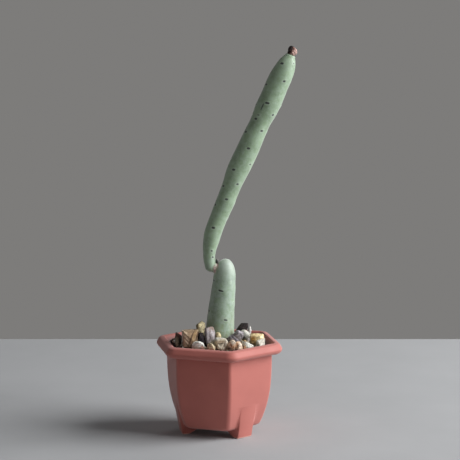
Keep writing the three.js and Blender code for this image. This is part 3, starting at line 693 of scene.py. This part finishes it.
tip = {
    "blobs": [
        {"across": 40.8, "height": 218.8, "size": (1.9, 1.9, 2.3)},
        {"across": 41.2, "height": 217.5, "size": (2.5, 2.4, 2.1)},
        {"across": 42.2, "height": 218.4, "size": (1.6, 1.7, 1.7)},
    ],
    "pleats": {"depth": 0.07, "count": 9, "twist": 4},
    "lumps": {"depth": 0.10, "globe": 3, "size": 5, "seed": 31},
    "net": (44, 60),
    "middle": (41.0, 0, 217.6),
    "paleness": (0.42, 0.20, -0.16),  # at its middle, and what each mm towards the lean and upwards adds
    "tones": [(0.016, 0.010, 0.009), (0.14, 0.055, 0.040), (0.46, 0.29, 0.25)],
}


def witheredBlob(index, across, height, size):
    # A globe with pleats, reach = size (1 + depth cos(count a + twist sin e) cos^2 e + lumps)
    way, pleats, lumps = headings(*tip["net"]), tip["pleats"], tip["lumps"]
    turn, rise = np.arctan2(way[:, :, 1], way[:, :, 0]), way[:, :, 2]
    pleat = pleats["depth"] * np.cos(pleats["count"] * turn + pleats["twist"] * rise + index) * (1 - rise**2)
    uneven = lumps["depth"] * ripples(way * lumps["globe"], lumps["size"], lumps["seed"] + index)
    full = 1 + pleat + uneven
    at = {"across": across, "height": height}
    return blobMesh(f"blob{index}", at, way * np.array(size) * full[:, :, None])


def makeTip():
    # Three withered blobs as one body, paler towards one side
    blobs = [witheredBlob(index, **blob) for index, blob in enumerate(tip["blobs"])]
    piece = unite(blobs[1], [blobs[0], blobs[2]])
    piece.name = piece.data.name = "witheredTip"
    across, away, up = leanSpots(piece.data, place(*tip["middle"]))
    atMiddle, perAcross, perUp = tip["paleness"]
    paint(piece, "pale", np.clip(atMiddle + perAcross * across + perUp * up, 0, 1))
    material, tree, shader = newMaterial("witheredHusk", Roughness=0.8)
    where = coordinates(tree)
    rough = noise(tree, where, 0.9, 4, 0.6)
    mixed = addNode(tree, "Math", {0: painted(tree, "pale"), 1: rough}, operation="ADD").outputs[0]
    dark, brown, pink = tip["tones"]
    tone = ramp(tree, mixed, [(0.55, dark), (0.85, brown), (1.0, pink)])
    tree.links.new(tone, shader.inputs["Base Color"])
    bump(tree, shader, noise(tree, where, 0.45, 4, 0.6), 0.12)
    return dress(piece, material, "dried_tip", "dried_tip")


makeTip()
print("tip: withered end on the stem")


# Top stones

rock = {
    "sharpness": 40,
    "chips": 10,
    "chipReach": (0.90, 1.0),
    "ripple": 0.016,
    "rippleSizes": (3.2, 1.1),  # of the wide ripples and the fine ones
    "fineShare": 0.5,
    "rows": 50,
    "sides": 72,
    "sharpAngle": 48,
    "patchPitch": 8.5,  # the patches are laid on as seen from this many degrees above level
    "patchWrap": (0.6, 0.5),  # how far they reach round the stone and over its top
}
looks = {
    # for each kind: its low and high tones, and the tones of its bands and specks
    "stone_pale": ((0.50, 0.46, 0.38), (0.78, 0.76, 0.70), (0.40, 0.33, 0.24), (0.22, 0.18, 0.14)),
    "stone_peach": ((0.62, 0.39, 0.25), (0.86, 0.66, 0.50), (0.40, 0.19, 0.09), (0.15, 0.08, 0.05)),
    "stone_tan": ((0.17, 0.115, 0.07), (0.42, 0.31, 0.20), (0.085, 0.050, 0.030), (0.05, 0.035, 0.03)),
    "stone_yellow": ((0.46, 0.33, 0.14), (0.78, 0.65, 0.40), (0.30, 0.17, 0.05), (0.16, 0.09, 0.04)),
    "stone_grey": ((0.13, 0.115, 0.11), (0.36, 0.33, 0.34), (0.50, 0.46, 0.50), (0.05, 0.04, 0.04)),
    "stone_dark": ((0.010, 0.007, 0.008), (0.045, 0.032, 0.030), (0.10, 0.07, 0.055), (0.16, 0.13, 0.12)),
}
# the kinds of the hidden stones, taken in turn from the one at firstFill
fillKinds = ("pale", "tan", "pale", "grey", "yellow", "dark", "grey", "tan")
firstFill = 5
shown = {
    # the kind and the painted patches of each stone that shows. A patch is right, up, half width,
    # half height, turn in degrees and tone, with the stone seen from the front and -1 to 1 across it
    "white_front": ("pale", [
        (0.1, 0.4, 1.0, 0.7, 0, (0.84, 0.84, 0.78)), (-0.4, -0.5, 0.7, 0.5, 0, (0.52, 0.46, 0.28)),
    ]),
    "pink_chip": ("peach", [(0, 0.3, 0.8, 0.8, 0, (0.62, 0.40, 0.32))]),
    "green_tan": ("tan", [
        (0.0, 0.3, 1.0, 0.7, 0, (0.62, 0.53, 0.35)), (0.2, -0.5, 0.8, 0.5, 0, (0.40, 0.26, 0.16)),
    ]),
    "cream_boulder": ("pale", [
        (0.0, -0.3, 1.1, 0.9, 0, (0.90, 0.85, 0.66)), (0.05, 0.50, 0.75, 0.36, 8, (0.46, 0.35, 0.22)),
        (0.05, 0.18, 0.62, 0.07, 8, (0.13, 0.09, 0.05)), (0.55, 0.20, 0.10, 0.50, -20, (0.20, 0.14, 0.08)),
        (0.85, 0.35, 0.25, 0.55, 0, (0.86, 0.78, 0.64)), (-0.8, -0.2, 0.4, 0.7, 0, (0.62, 0.52, 0.34)),
    ]),
    "peach_left": ("peach", [
        # the near-black patch low on its left is painted shade in a pit
        (0.3, 0.55, 0.7, 0.4, 0, (0.90, 0.76, 0.60)), (-0.2, 0.0, 0.20, 0.7, 30, (0.26, 0.10, 0.04)),
        (0.3, -0.3, 0.18, 0.5, -20, (0.34, 0.15, 0.06)), (-0.7, -0.6, 0.5, 0.45, 0, (0.015, 0.010, 0.010)),
    ]),
    "peach_right": ("peach", [
        (0.1, 0.1, 0.7, 0.8, 0, (0.88, 0.70, 0.54)), (-0.35, 0.2, 0.14, 0.55, -12, (0.34, 0.15, 0.06)),
        (0.35, 0.25, 0.30, 0.45, 0, (0.92, 0.78, 0.64)),
    ]),
    "rust_chip": ("tan", [(0, 0, 0.9, 0.9, 0, (0.30, 0.13, 0.05))]),
    "white_slope": ("pale", [
        (0, 0.2, 1.0, 0.9, 0, (0.70, 0.70, 0.63)), (0.6, -0.6, 0.5, 0.3, 0, (0.50, 0.46, 0.38)),
    ]),
    "dark_facet": ("dark", [
        (0.1, 0.65, 0.8, 0.45, 0, (0.085, 0.025, 0.016)), (-0.35, -0.3, 0.7, 0.65, 0, (0.58, 0.54, 0.39)),
        (0.7, -0.1, 0.30, 0.9, 0, (0.010, 0.008, 0.007)), (-0.5, -0.1, 0.2, 0.4, 30, (0.52, 0.49, 0.38)),
    ]),
    "bark_boulder": ("tan", [
        (-0.25, 0.0, 0.9, 1.1, 0, (0.46, 0.31, 0.19)), (-0.95, 0.0, 0.16, 1.0, 0, (0.78, 0.70, 0.62)),
        (-0.50, 0.62, 0.13, 0.34, 50, (0.92, 0.70, 0.48)), (-0.50, 0.20, 0.12, 0.46, 48, (0.90, 0.70, 0.50)),
        (-0.40, -0.25, 0.12, 0.42, 45, (0.86, 0.68, 0.50)),
        (-0.60, -0.62, 0.16, 0.30, 40, (0.66, 0.52, 0.38)),
        (-0.45, 0.42, 0.06, 0.50, 50, (0.13, 0.065, 0.040)),
        (-0.45, -0.02, 0.06, 0.52, 47, (0.13, 0.065, 0.040)),
        (-0.40, -0.46, 0.06, 0.42, 42, (0.13, 0.070, 0.045)),
        (0.16, 0.25, 0.10, 0.80, -24, (0.065, 0.030, 0.018)),
        (0.48, 0.42, 0.20, 0.60, -22, (0.46, 0.30, 0.15)),
        (0.76, 0.38, 0.08, 0.55, -18, (0.075, 0.036, 0.022)),
        (0.35, -0.65, 0.45, 0.32, 0, (0.17, 0.12, 0.08)),
    ]),
    "black_wedge": ("dark", [(0, 0, 0.9, 0.9, 0, (0.011, 0.007, 0.011))]),
    "lilac_slab": ("grey", [
        (0.0, 0.0, 1.1, 1.1, 0, (0.36, 0.31, 0.31)), (0.1, 0.80, 0.8, 0.25, 0, (0.26, 0.18, 0.14)),
        (-0.45, 0.15, 0.24, 0.7, -10, (0.56, 0.51, 0.53)), (0.35, 0.35, 0.12, 0.5, 30, (0.58, 0.53, 0.54)),
        (0.05, -0.1, 0.07, 0.7, 24, (0.16, 0.13, 0.13)), (0.45, -0.65, 0.5, 0.32, 0, (0.30, 0.26, 0.15)),
    ]),
    "yellow_chip": ("yellow", [
        # the near-black patch on its left is painted shadow
        (0.2, 0.2, 0.8, 0.8, 0, (0.84, 0.72, 0.44)), (-0.9, -0.5, 0.35, 0.5, 0, (0.05, 0.028, 0.016)),
    ]),
    "grey_shard": ("grey", [
        (0.0, 0.0, 1.0, 1.0, 0, (0.10, 0.08, 0.07)), (-0.3, 0.3, 0.15, 0.7, 45, (0.44, 0.39, 0.43)),
        (0.25, 0.0, 0.14, 0.8, 45, (0.38, 0.34, 0.38)), (0.0, 0.1, 0.12, 0.7, 45, (0.05, 0.04, 0.04)),
    ]),
    "lilac_shard": ("grey", [
        (-0.2, 0.5, 0.6, 0.35, 30, (0.48, 0.43, 0.47)), (0.3, -0.3, 0.5, 0.5, 0, (0.14, 0.12, 0.12)),
    ]),
    "pale_grey": ("pale", [
        (0.0, 0.1, 0.9, 0.7, 0, (0.56, 0.56, 0.50)), (-0.6, -0.6, 0.5, 0.4, 0, (0.26, 0.25, 0.22)),
    ]),
    "black_shard": ("dark", [(0, 0, 1.1, 1.1, 0, (0.020, 0.013, 0.013))]),
    "white_flake": ("pale", [(0, 0, 1, 1, 0, (0.66, 0.60, 0.62))]),
    "yellow_ochre": ("yellow", [
        (0.0, 0.1, 1.2, 1.2, 0, (0.88, 0.68, 0.36)), (-0.42, 0.20, 0.36, 0.48, 0, (0.32, 0.12, 0.012)),
        (-0.36, 0.14, 0.12, 0.20, 0, (0.58, 0.34, 0.08)), (-0.95, -0.2, 0.2, 0.6, 0, (0.06, 0.028, 0.012)),
        (0.6, 0.35, 0.4, 0.4, 0, (0.92, 0.76, 0.46)), (0.35, -0.6, 0.5, 0.3, 0, (0.74, 0.64, 0.46)),
    ]),
    "cream_side": ("pale", [
        (0.1, 0.2, 0.9, 0.8, 0, (0.74, 0.70, 0.60)), (-0.3, -0.3, 0.15, 0.2, 0, (0.20, 0.15, 0.10)),
    ]),
    "yellow_upright": ("yellow", [
        # the cream patch is raised past the stone's own tone as painted light, and the dark patch on its left
        # is painted shade
        (0.3, 0.1, 1.1, 1.2, -15, (1.0, 0.86, 0.54)), (-0.85, 0.3, 0.22, 0.7, -15, (0.22, 0.19, 0.10)),
    ]),
}


def nodePoints(name):
    # The corners of a CAD node, each once
    return np.unique(np.round(meshPoints(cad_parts[name].data), 3), axis=0)


def flatsOf(name, middle):
    # The flat faces of a CAD stone, each once: the direction that it faces and its distance from the middle
    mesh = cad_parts[name].data
    facing, spot = np.empty(len(mesh.polygons) * 3), np.empty(len(mesh.polygons) * 3)
    mesh.polygons.foreach_get("normal", facing)
    mesh.polygons.foreach_get("center", spot)
    facing, spot = facing.reshape(-1, 3), spot.reshape(-1, 3) / mm
    distance = np.einsum("ij,ij->i", facing, spot - middle)
    return np.unique(np.round(np.column_stack([facing, distance]), 2), axis=0)


def stoneSurface(name, seed):
    # In each direction a stone reaches r = (sum of (max(n . way, 0) / d)^p)^(-1/p), which is its
    # nearest face with softened edges
    corners = nodePoints(name)
    middle = corners.mean(0)
    flats = flatsOf(name, middle)
    draw = np.random.default_rng(seed)
    chips = draw.normal(size=(rock["chips"], 3))
    chips /= np.linalg.norm(chips, axis=1, keepdims=True)
    chipReach = ((corners - middle) @ chips.T).max(0) * draw.uniform(*rock["chipReach"], rock["chips"])
    facing = np.vstack([flats[:, :3], chips])
    distance = np.concatenate([flats[:, 3], chipReach])
    way = headings(rock["rows"], rock["sides"]) * (corners.max(0) - corners.min(0))
    way /= np.linalg.norm(way, axis=-1, keepdims=True)
    share = np.maximum(way @ facing.T, 0) / distance
    reach = (share ** rock["sharpness"]).sum(-1) ** (-1 / rock["sharpness"])
    points = middle + way * reach[..., None]
    wideSize, fineSize = rock["rippleSizes"]
    uneven = ripples(points, wideSize, seed + 1) + rock["fineShare"] * ripples(points, fineSize, seed + 2)
    return middle + (points - middle) * (1 + rock["ripple"] * uneven[..., None])


def patchTones(points, patches):
    # Each patch covers exp(-(du^2 + dv^2)^1.5) of what is under it, on the side that faces the front
    pitch = math.radians(rock["patchPitch"])
    aroundShare, topShare = rock["patchWrap"]
    spot = points - (points.min((0, 1)) + points.max((0, 1))) / 2
    right = spot @ [math.cos(leanTurn), math.sin(leanTurn), 0]
    away = spot @ [-math.sin(leanTurn), math.cos(leanTurn), 0]
    up = spot[..., 2] * math.cos(pitch) + away * math.sin(pitch)
    near = np.clip(aroundShare - away / np.abs(away).max() + topShare * up / np.abs(up).max(), 0, 1)
    right, up = right / np.abs(right).max(), up / np.abs(up).max()
    tones, cover = np.zeros((*right.shape, 3)), np.zeros(right.shape)
    for atRight, atUp, wide, tall, turn, tone in patches:
        angle = math.radians(turn)
        du = ((right - atRight) * math.cos(angle) + (up - atUp) * math.sin(angle)) / wide
        dv = ((up - atUp) * math.cos(angle) - (right - atRight) * math.sin(angle)) / tall
        part = np.exp(-((du**2 + dv**2) ** 1.5)) * near
        total = cover + part * (1 - cover)
        share = np.where(total > 0, part / np.maximum(total, 1e-9), 0)
        tones = tones * (1 - share)[..., None] + np.array(tone) * share[..., None]
        cover = total
    return np.concatenate([tones, cover[..., None]], -1).reshape(-1, 4)


def rockMaterial(name, low, high, band, speck):
    # Cloudy rock with stripes through it, then the painted patches, the specks and a fine mottling
    material, tree, shader = newMaterial(name, Specular_IOR_Level=0.3)
    where = coordinates(tree)
    tone = ramp(tree, noise(tree, where, 2.4, 5, 0.62), [(0.36, low), (0.64, high)], smooth=True)
    stripes = noise(tree, coordinates(tree, (20, 35, 50), (1, 1, 5)), 4.0, 4, 0.6, 1.0)
    tone = blendTones(tree, ramp(tree, stripes, [(0.55, 0), (0.66, 0.7)]), tone, band)
    tint = addNode(tree, "Attribute", attribute_name="tint")
    tintFade = ramp(tree, noise(tree, where, 0.9, 4, 0.6), [(0.30, 0.65), (0.50, 1)])
    cover = addNode(tree, "Math", {0: tint.outputs["Alpha"], 1: tintFade}, operation="MULTIPLY").outputs[0]
    tone = blendTones(tree, cover, tone, tint.outputs["Color"])
    specks = noise(tree, where, 0.65, 4, 0.65)
    tone = blendTones(tree, ramp(tree, specks, [(0.58, 0), (0.68, 0.75)]), tone, speck)
    mottled = ramp(tree, noise(tree, where, 1.2, 4, 0.65), [(0.30, 0.55), (0.60, 1.2)])
    tone = blendTones(tree, 1.0, tone, mottled, "MULTIPLY")
    tree.links.new(tone, shader.inputs["Base Color"])
    tree.links.new(ramp(tree, specks, [(0.3, 0.70), (0.7, 0.92)]), shader.inputs["Roughness"])
    grain = bump(tree, shader, noise(tree, where, 0.4, 4, 0.6), 0.13)
    bump(tree, shader, noise(tree, where, 1.5, 5, 0.65), 0.55, grain)
    return material


stoneNames = [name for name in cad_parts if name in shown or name.startswith("stone_")]


def makeStones():
    # Each stone has the rock of its kind, and its draws start from the letters of its name
    materials = {kind: rockMaterial(kind + "Rock", *look) for kind, look in looks.items()}
    for name in stoneNames:
        if name in shown:
            kind, patches = shown[name]
        else:
            kind, patches = fillKinds[(int(name[-2:]) - 1 + firstFill) % len(fillKinds)], []
        seed = 100 + sum(map(ord, name)) * 3
        points = stoneSurface(name, seed)
        piece = buildMesh(name + "_face", loft(points))
        rows = patchTones(points, patches)
        paintTones(piece, "tint", np.vstack([rows, rows[0], rows[-1]]))
        piece.data.set_sharp_from_angle(angle=math.radians(rock["sharpAngle"]))
        dress(piece, materials["stone_" + kind], "stone_" + kind, name)


makeStones()
print("stones:", len(stoneNames), "angular stones")


# Gravel bed and soil

gravel = {
    "wall": 48.4,  # the bed's height at the wall and in the middle
    "middle": 55.2,
    "reach": 26.2,
    "bank": 3.6,
    "floor": 46.3,
    "rounding": 1.5,
    "slab": {
        "sides": 180, "rings": 60, "wallGap": 0.25, "sink": 0.9, "bumps": 0.5, "bumpSize": 3.0,
        "floorRings": (0.3, 0.95), "lastRing": 0.02,  # as shares of the way from the middle to the edge
    },
    "lines": 13,  # the net of grains reaches this many lines each way
    "pitch": 2.35,
    "lineShare": 0.87,
    "stray": 0.5,
    "halfSize": (0.85, 1.75),
    "flatness": 0.8,
    "rows": 9,
    "sides": 12,
    "faces": 10,
    "faceReach": (0.62, 0.95),
    "sharpness": 14,
    "longest": 0.9,  # a grain reaches 1 / longest of its half size at most
    "sunk": 0.25,
    "tossed": (-0.3, 0.5),
    "toneSpread": (0.75, 1.2),
    "wallGap": 0.4,
    "stemGap": 9.0,
    "stemAcross": 0.5,
    "stoneShare": 0.72,  # no grain stands within this share of a stone's half size
    "seed": 5,
    # the slab under the grains is near black: painted shade for the gaps between the grains
    "base": (0.030, 0.020, 0.014),
    "tones": [
        (0.50, 0.44, 0.34), (0.20, 0.14, 0.09), (0.62, 0.58, 0.50), (0.045, 0.032, 0.026), (0.38, 0.25, 0.13),
        (0.15, 0.13, 0.12), (0.55, 0.38, 0.26), (0.10, 0.07, 0.05), (0.28, 0.23, 0.16),
    ],
}
soilTones = ((0.018, 0.011, 0.007), (0.10, 0.065, 0.040))


def bedHeight(x, y):
    # A low cone, banked up on the side that the stem leans away from
    reach = np.hypot(x - potAxis, y) / gravel["reach"]
    leaning = (x - potAxis) * math.cos(leanTurn) + y * math.sin(leanTurn)
    bank = gravel["bank"] * np.clip(-leaning / gravel["reach"], 0, 1)
    return gravel["middle"] + (gravel["wall"] - gravel["middle"]) * np.minimum(reach, 1) + bank


def insideWall(gap):
    # The apothem that stays clear of the pot's inner side by the gap
    return wallAt(gravel["wall"])[0] - pot["wallThickness"] - gap


def bedSlab():
    # A hexagonal slab: up its side, and over the top in rings towards the middle
    slab = gravel["slab"]
    degrees = np.linspace(0, 360, slab["sides"], endpoint=False)
    edge = hexRadius(insideWall(slab["wallGap"]), gravel["rounding"], degrees)
    share = np.concatenate([slab["floorRings"], np.linspace(1, slab["lastRing"], slab["rings"])])[:, None]
    radius, turn = edge * share, np.radians(degrees)
    x, y = potAxis + radius * np.cos(turn), radius * np.sin(turn)
    uneven = slab["bumps"] * ripples(np.stack([x, y, 0 * x], -1), slab["bumpSize"], gravel["seed"])
    height = bedHeight(x, y) - slab["sink"] + uneven
    height[:len(slab["floorRings"])] = gravel["floor"]
    return np.stack([x, y, height], -1)


def grainShapes():
    # Grains stand at drawn places of a net, and each is cut by its own flat faces,
    # r = (sum of (max(n . way, 0) / d)^p)^(-1/p)
    draw = np.random.default_rng(gravel["seed"])
    step, stray, lines = gravel["pitch"], gravel["stray"], np.arange(-gravel["lines"], gravel["lines"] + 1)
    column, line = np.meshgrid(lines, lines, indexing="ij")
    x = (column + 0.5 * (line % 2)) * step + draw.uniform(-stray, stray, column.shape)
    y = line * step * gravel["lineShare"] + draw.uniform(-stray, stray, column.shape)
    x, y = x.ravel() + potAxis, y.ravel()
    half = draw.uniform(*gravel["halfSize"], (x.size, 3)) * [1, 1, gravel["flatness"]]
    degrees = np.degrees(np.arctan2(y, x - potAxis))
    room = hexRadius(insideWall(gravel["wallGap"]), gravel["rounding"], degrees)
    keep = np.hypot(x - potAxis, y) + half[:, 0] < room
    keep &= np.hypot(x - potAxis - gravel["stemAcross"], y) > gravel["stemGap"]
    for name in stoneNames:
        corners = nodePoints(name)
        middle, size = corners.mean(0), (corners.max(0) - corners.min(0)) / 2
        keep &= np.hypot((x - middle[0]) / size[0], (y - middle[1]) / size[1]) > gravel["stoneShare"]
    x, y, half = x[keep], y[keep], half[keep]
    facing = draw.normal(size=(len(x), gravel["faces"], 3))
    facing /= np.linalg.norm(facing, axis=-1, keepdims=True)
    distance = draw.uniform(*gravel["faceReach"], (len(x), gravel["faces"]))
    way = headings(gravel["rows"], gravel["sides"])
    share = np.maximum(np.einsum("rsk,gfk->grsf", way, facing), 0) / distance[:, None, None, :]
    power = gravel["sharpness"]
    reach = 1 / np.maximum((share**power).sum(-1) ** (1 / power), gravel["longest"])
    height = bedHeight(x, y) - gravel["sunk"] + draw.uniform(*gravel["tossed"], len(x))
    middle = np.stack([x, y, height], -1)
    points = middle[:, None, None, :] + way * reach[..., None] * half[:, None, None, :]
    tones = np.array(gravel["tones"])[draw.integers(0, len(gravel["tones"]), len(x))]
    return points, tones * draw.uniform(*gravel["toneSpread"], (len(x), 1))


def makeGravel():
    # The slab and all grains go in one mesh, each with its own tone, and the faces of each
    # count on from the points before it
    grains, grainTones = grainShapes()
    points, quads, fans = zip(loft(bedSlab()), *map(loft, grains))
    counts = [len(part) for part in points]
    starts = np.cumsum([0] + counts[:-1])
    quads = [part + start for part, start in zip(quads, starts)]
    fans = [part + start for part, start in zip(fans, starts)]
    piece = buildMesh("gritBed", tuple(map(np.vstack, (points, quads, fans))))
    # the slab's near-black tone is painted shade between the grains
    tones = np.repeat(np.vstack([gravel["base"], grainTones]), counts, axis=0)
    paintTones(piece, "grainTone", np.column_stack([tones, np.ones(len(tones))]))
    material, tree, shader = newMaterial("mixedGrit", Specular_IOR_Level=0.3)
    where = coordinates(tree)
    own = addNode(tree, "Attribute", attribute_name="grainTone").outputs["Color"]
    mottled = ramp(tree, noise(tree, where, 0.8, 4, 0.6), [(0.3, 0.55), (0.7, 1.25)])
    tone = blendTones(tree, 1.0, own, mottled, "MULTIPLY")
    tree.links.new(tone, shader.inputs["Base Color"])
    roughness = ramp(tree, noise(tree, where, 1.5), [(0.3, 0.75), (0.7, 0.95)])
    tree.links.new(roughness, shader.inputs["Roughness"])
    bump(tree, shader, noise(tree, where, 0.5, 4, 0.6), 0.12)
    dress(piece, material, "grit", "gravel_bed")
    return len(grains)


def makeSoil():
    # The soil keeps its CAD mesh, which hardly shows, and gets the finish alone
    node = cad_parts["soil"]
    material, tree, shader = newMaterial("pottingMix", Roughness=0.95)
    where = coordinates(tree)
    tone = ramp(tree, noise(tree, where, 1.6, 5, 0.65), [(0.38, soilTones[0]), (0.68, soilTones[1])])
    tree.links.new(tone, shader.inputs["Base Color"])
    bump(tree, shader, noise(tree, where, 1.0, 5, 0.65), 0.35)
    node.data.materials.clear()
    node.data.materials.append(material)


print("gravel:", makeGravel(), "grains on their bed")
makeSoil()
print("soil: dressed")


# Stage, light and camera

stage = {
    "cameraTurn": 18.33,
    "cameraPitch": 8.47,
    "cameraDistance": 1067.77,
    "cameraHeight": 275.9,
    "cameraAcross": 6.35,
    "focalPixels": 1900,
    "framePixels": 460,
    "sensor": 36,
    "floorHalf": (560, 258),
    "floorTone": (0.44, 0.44, 0.445),
    "floorMottle": 0.94,
    "lampTarget": 90,
    "worldLevel": (0.205, 0.201, 0.195),
    "worldAbove": (0.05, 0.053, 0.058),
}
lamps = [
    # turn is from the camera's right towards the back, lift is the angle above level,
    # and size is width and height
    {
        "name": "window", "turn": -9, "lift": 27, "distance": 1400, "size": (1100, 1300),
        "power": 39, "tone": (0.965, 0.985, 1.0),
    },
    {
        "name": "edge", "turn": 58, "lift": 18, "distance": 1300, "size": (350, 900),
        "power": 2.5, "tone": (1.0, 1.0, 1.0),
    },
    {
        "name": "fill", "turn": 230, "lift": 40, "distance": 1300, "size": (900, 900),
        "power": 0.4, "tone": (0.92, 0.96, 1.0),
    },
]


def makeCamera():
    # It stands in front of the plant and a little to one side, and looks down on the pot by cameraPitch
    turn = math.radians(stage["cameraTurn"])
    across, back = stage["cameraAcross"], stage["cameraDistance"]
    data = bpy.data.cameras.new("camera")
    data.sensor_width = stage["sensor"]
    data.lens = stage["focalPixels"] / stage["framePixels"] * stage["sensor"]
    data.clip_start, data.clip_end = 0.01, 20
    camera = bpy.data.objects.new("camera", data)
    x = potAxis + across * math.cos(turn) + back * math.sin(turn)
    y = across * math.sin(turn) - back * math.cos(turn)
    camera.location = (x * mm, y * mm, stage["cameraHeight"] * mm)
    camera.rotation_euler = (math.radians(90 - stage["cameraPitch"]), 0, turn)
    bpy.context.collection.objects.link(camera)
    bpy.context.scene.camera = camera


def makeLamp(name, turn, lift, distance, size, power, tone):
    data = bpy.data.lights.new(name, "AREA")
    data.shape, data.energy, data.color = "RECTANGLE", power, tone
    data.size, data.size_y = (part * mm for part in size)
    lamp = bpy.data.objects.new(name, data)
    heading, lift = math.radians(turn + stage["cameraTurn"]), math.radians(lift)
    level, rise = distance * math.cos(lift), distance * math.sin(lift)
    spot = (potAxis + level * math.cos(heading), level * math.sin(heading), stage["lampTarget"] + rise)
    lamp.location = [part * mm for part in spot]
    lamp.rotation_euler = (math.pi / 2 - lift, 0, heading + math.pi / 2)
    bpy.context.collection.objects.link(lamp)


def makeStage():
    # A plain floor, square to the camera, that ends a little behind the pot, and an even pale world
    # that darkens above
    turn = math.radians(stage["cameraTurn"])
    half, deep = stage["floorHalf"]
    corners = np.array([(-half, -deep), (half, -deep), (half, deep), (-half, deep)]) * mm
    x = potAxis * mm + corners[:, 0] * math.cos(turn) - corners[:, 1] * math.sin(turn)
    y = corners[:, 0] * math.sin(turn) + corners[:, 1] * math.cos(turn)
    data = bpy.data.meshes.new("floor")
    data.from_pydata(np.stack([x, y, 0 * x], -1).tolist(), [], [(0, 1, 2, 3)])
    floor = bpy.data.objects.new("floor", data)
    bpy.context.collection.objects.link(floor)
    material, tree, shader = newMaterial("paleFloor", Roughness=1.0, Specular_IOR_Level=0.1)
    cloud = noise(tree, coordinates(tree), 60, 4)
    low = tuple(stage["floorMottle"] * part for part in stage["floorTone"])
    tree.links.new(ramp(tree, cloud, [(0.3, low), (0.7, stage["floorTone"])]), shader.inputs["Base Color"])
    data.materials.append(material)
    world = bpy.data.worlds.new("studio")
    world.use_nodes = True
    tree = world.node_tree
    heading = addNode(tree, "TexCoord").outputs["Generated"]
    rise = addNode(tree, "SeparateXYZ", {"Vector": heading}).outputs["Z"]
    level = addNode(tree, "Math", {0: rise}, operation="ABSOLUTE").outputs[0]
    tone = ramp(tree, level, [(0.40, stage["worldLevel"]), (0.70, stage["worldAbove"])], smooth=True)
    tree.links.new(tone, tree.nodes["Background"].inputs["Color"])
    bpy.context.scene.world = world
    bpy.context.scene.view_settings.view_transform = "Standard"


makeCamera()
for lamp in lamps:
    makeLamp(**lamp)
makeStage()
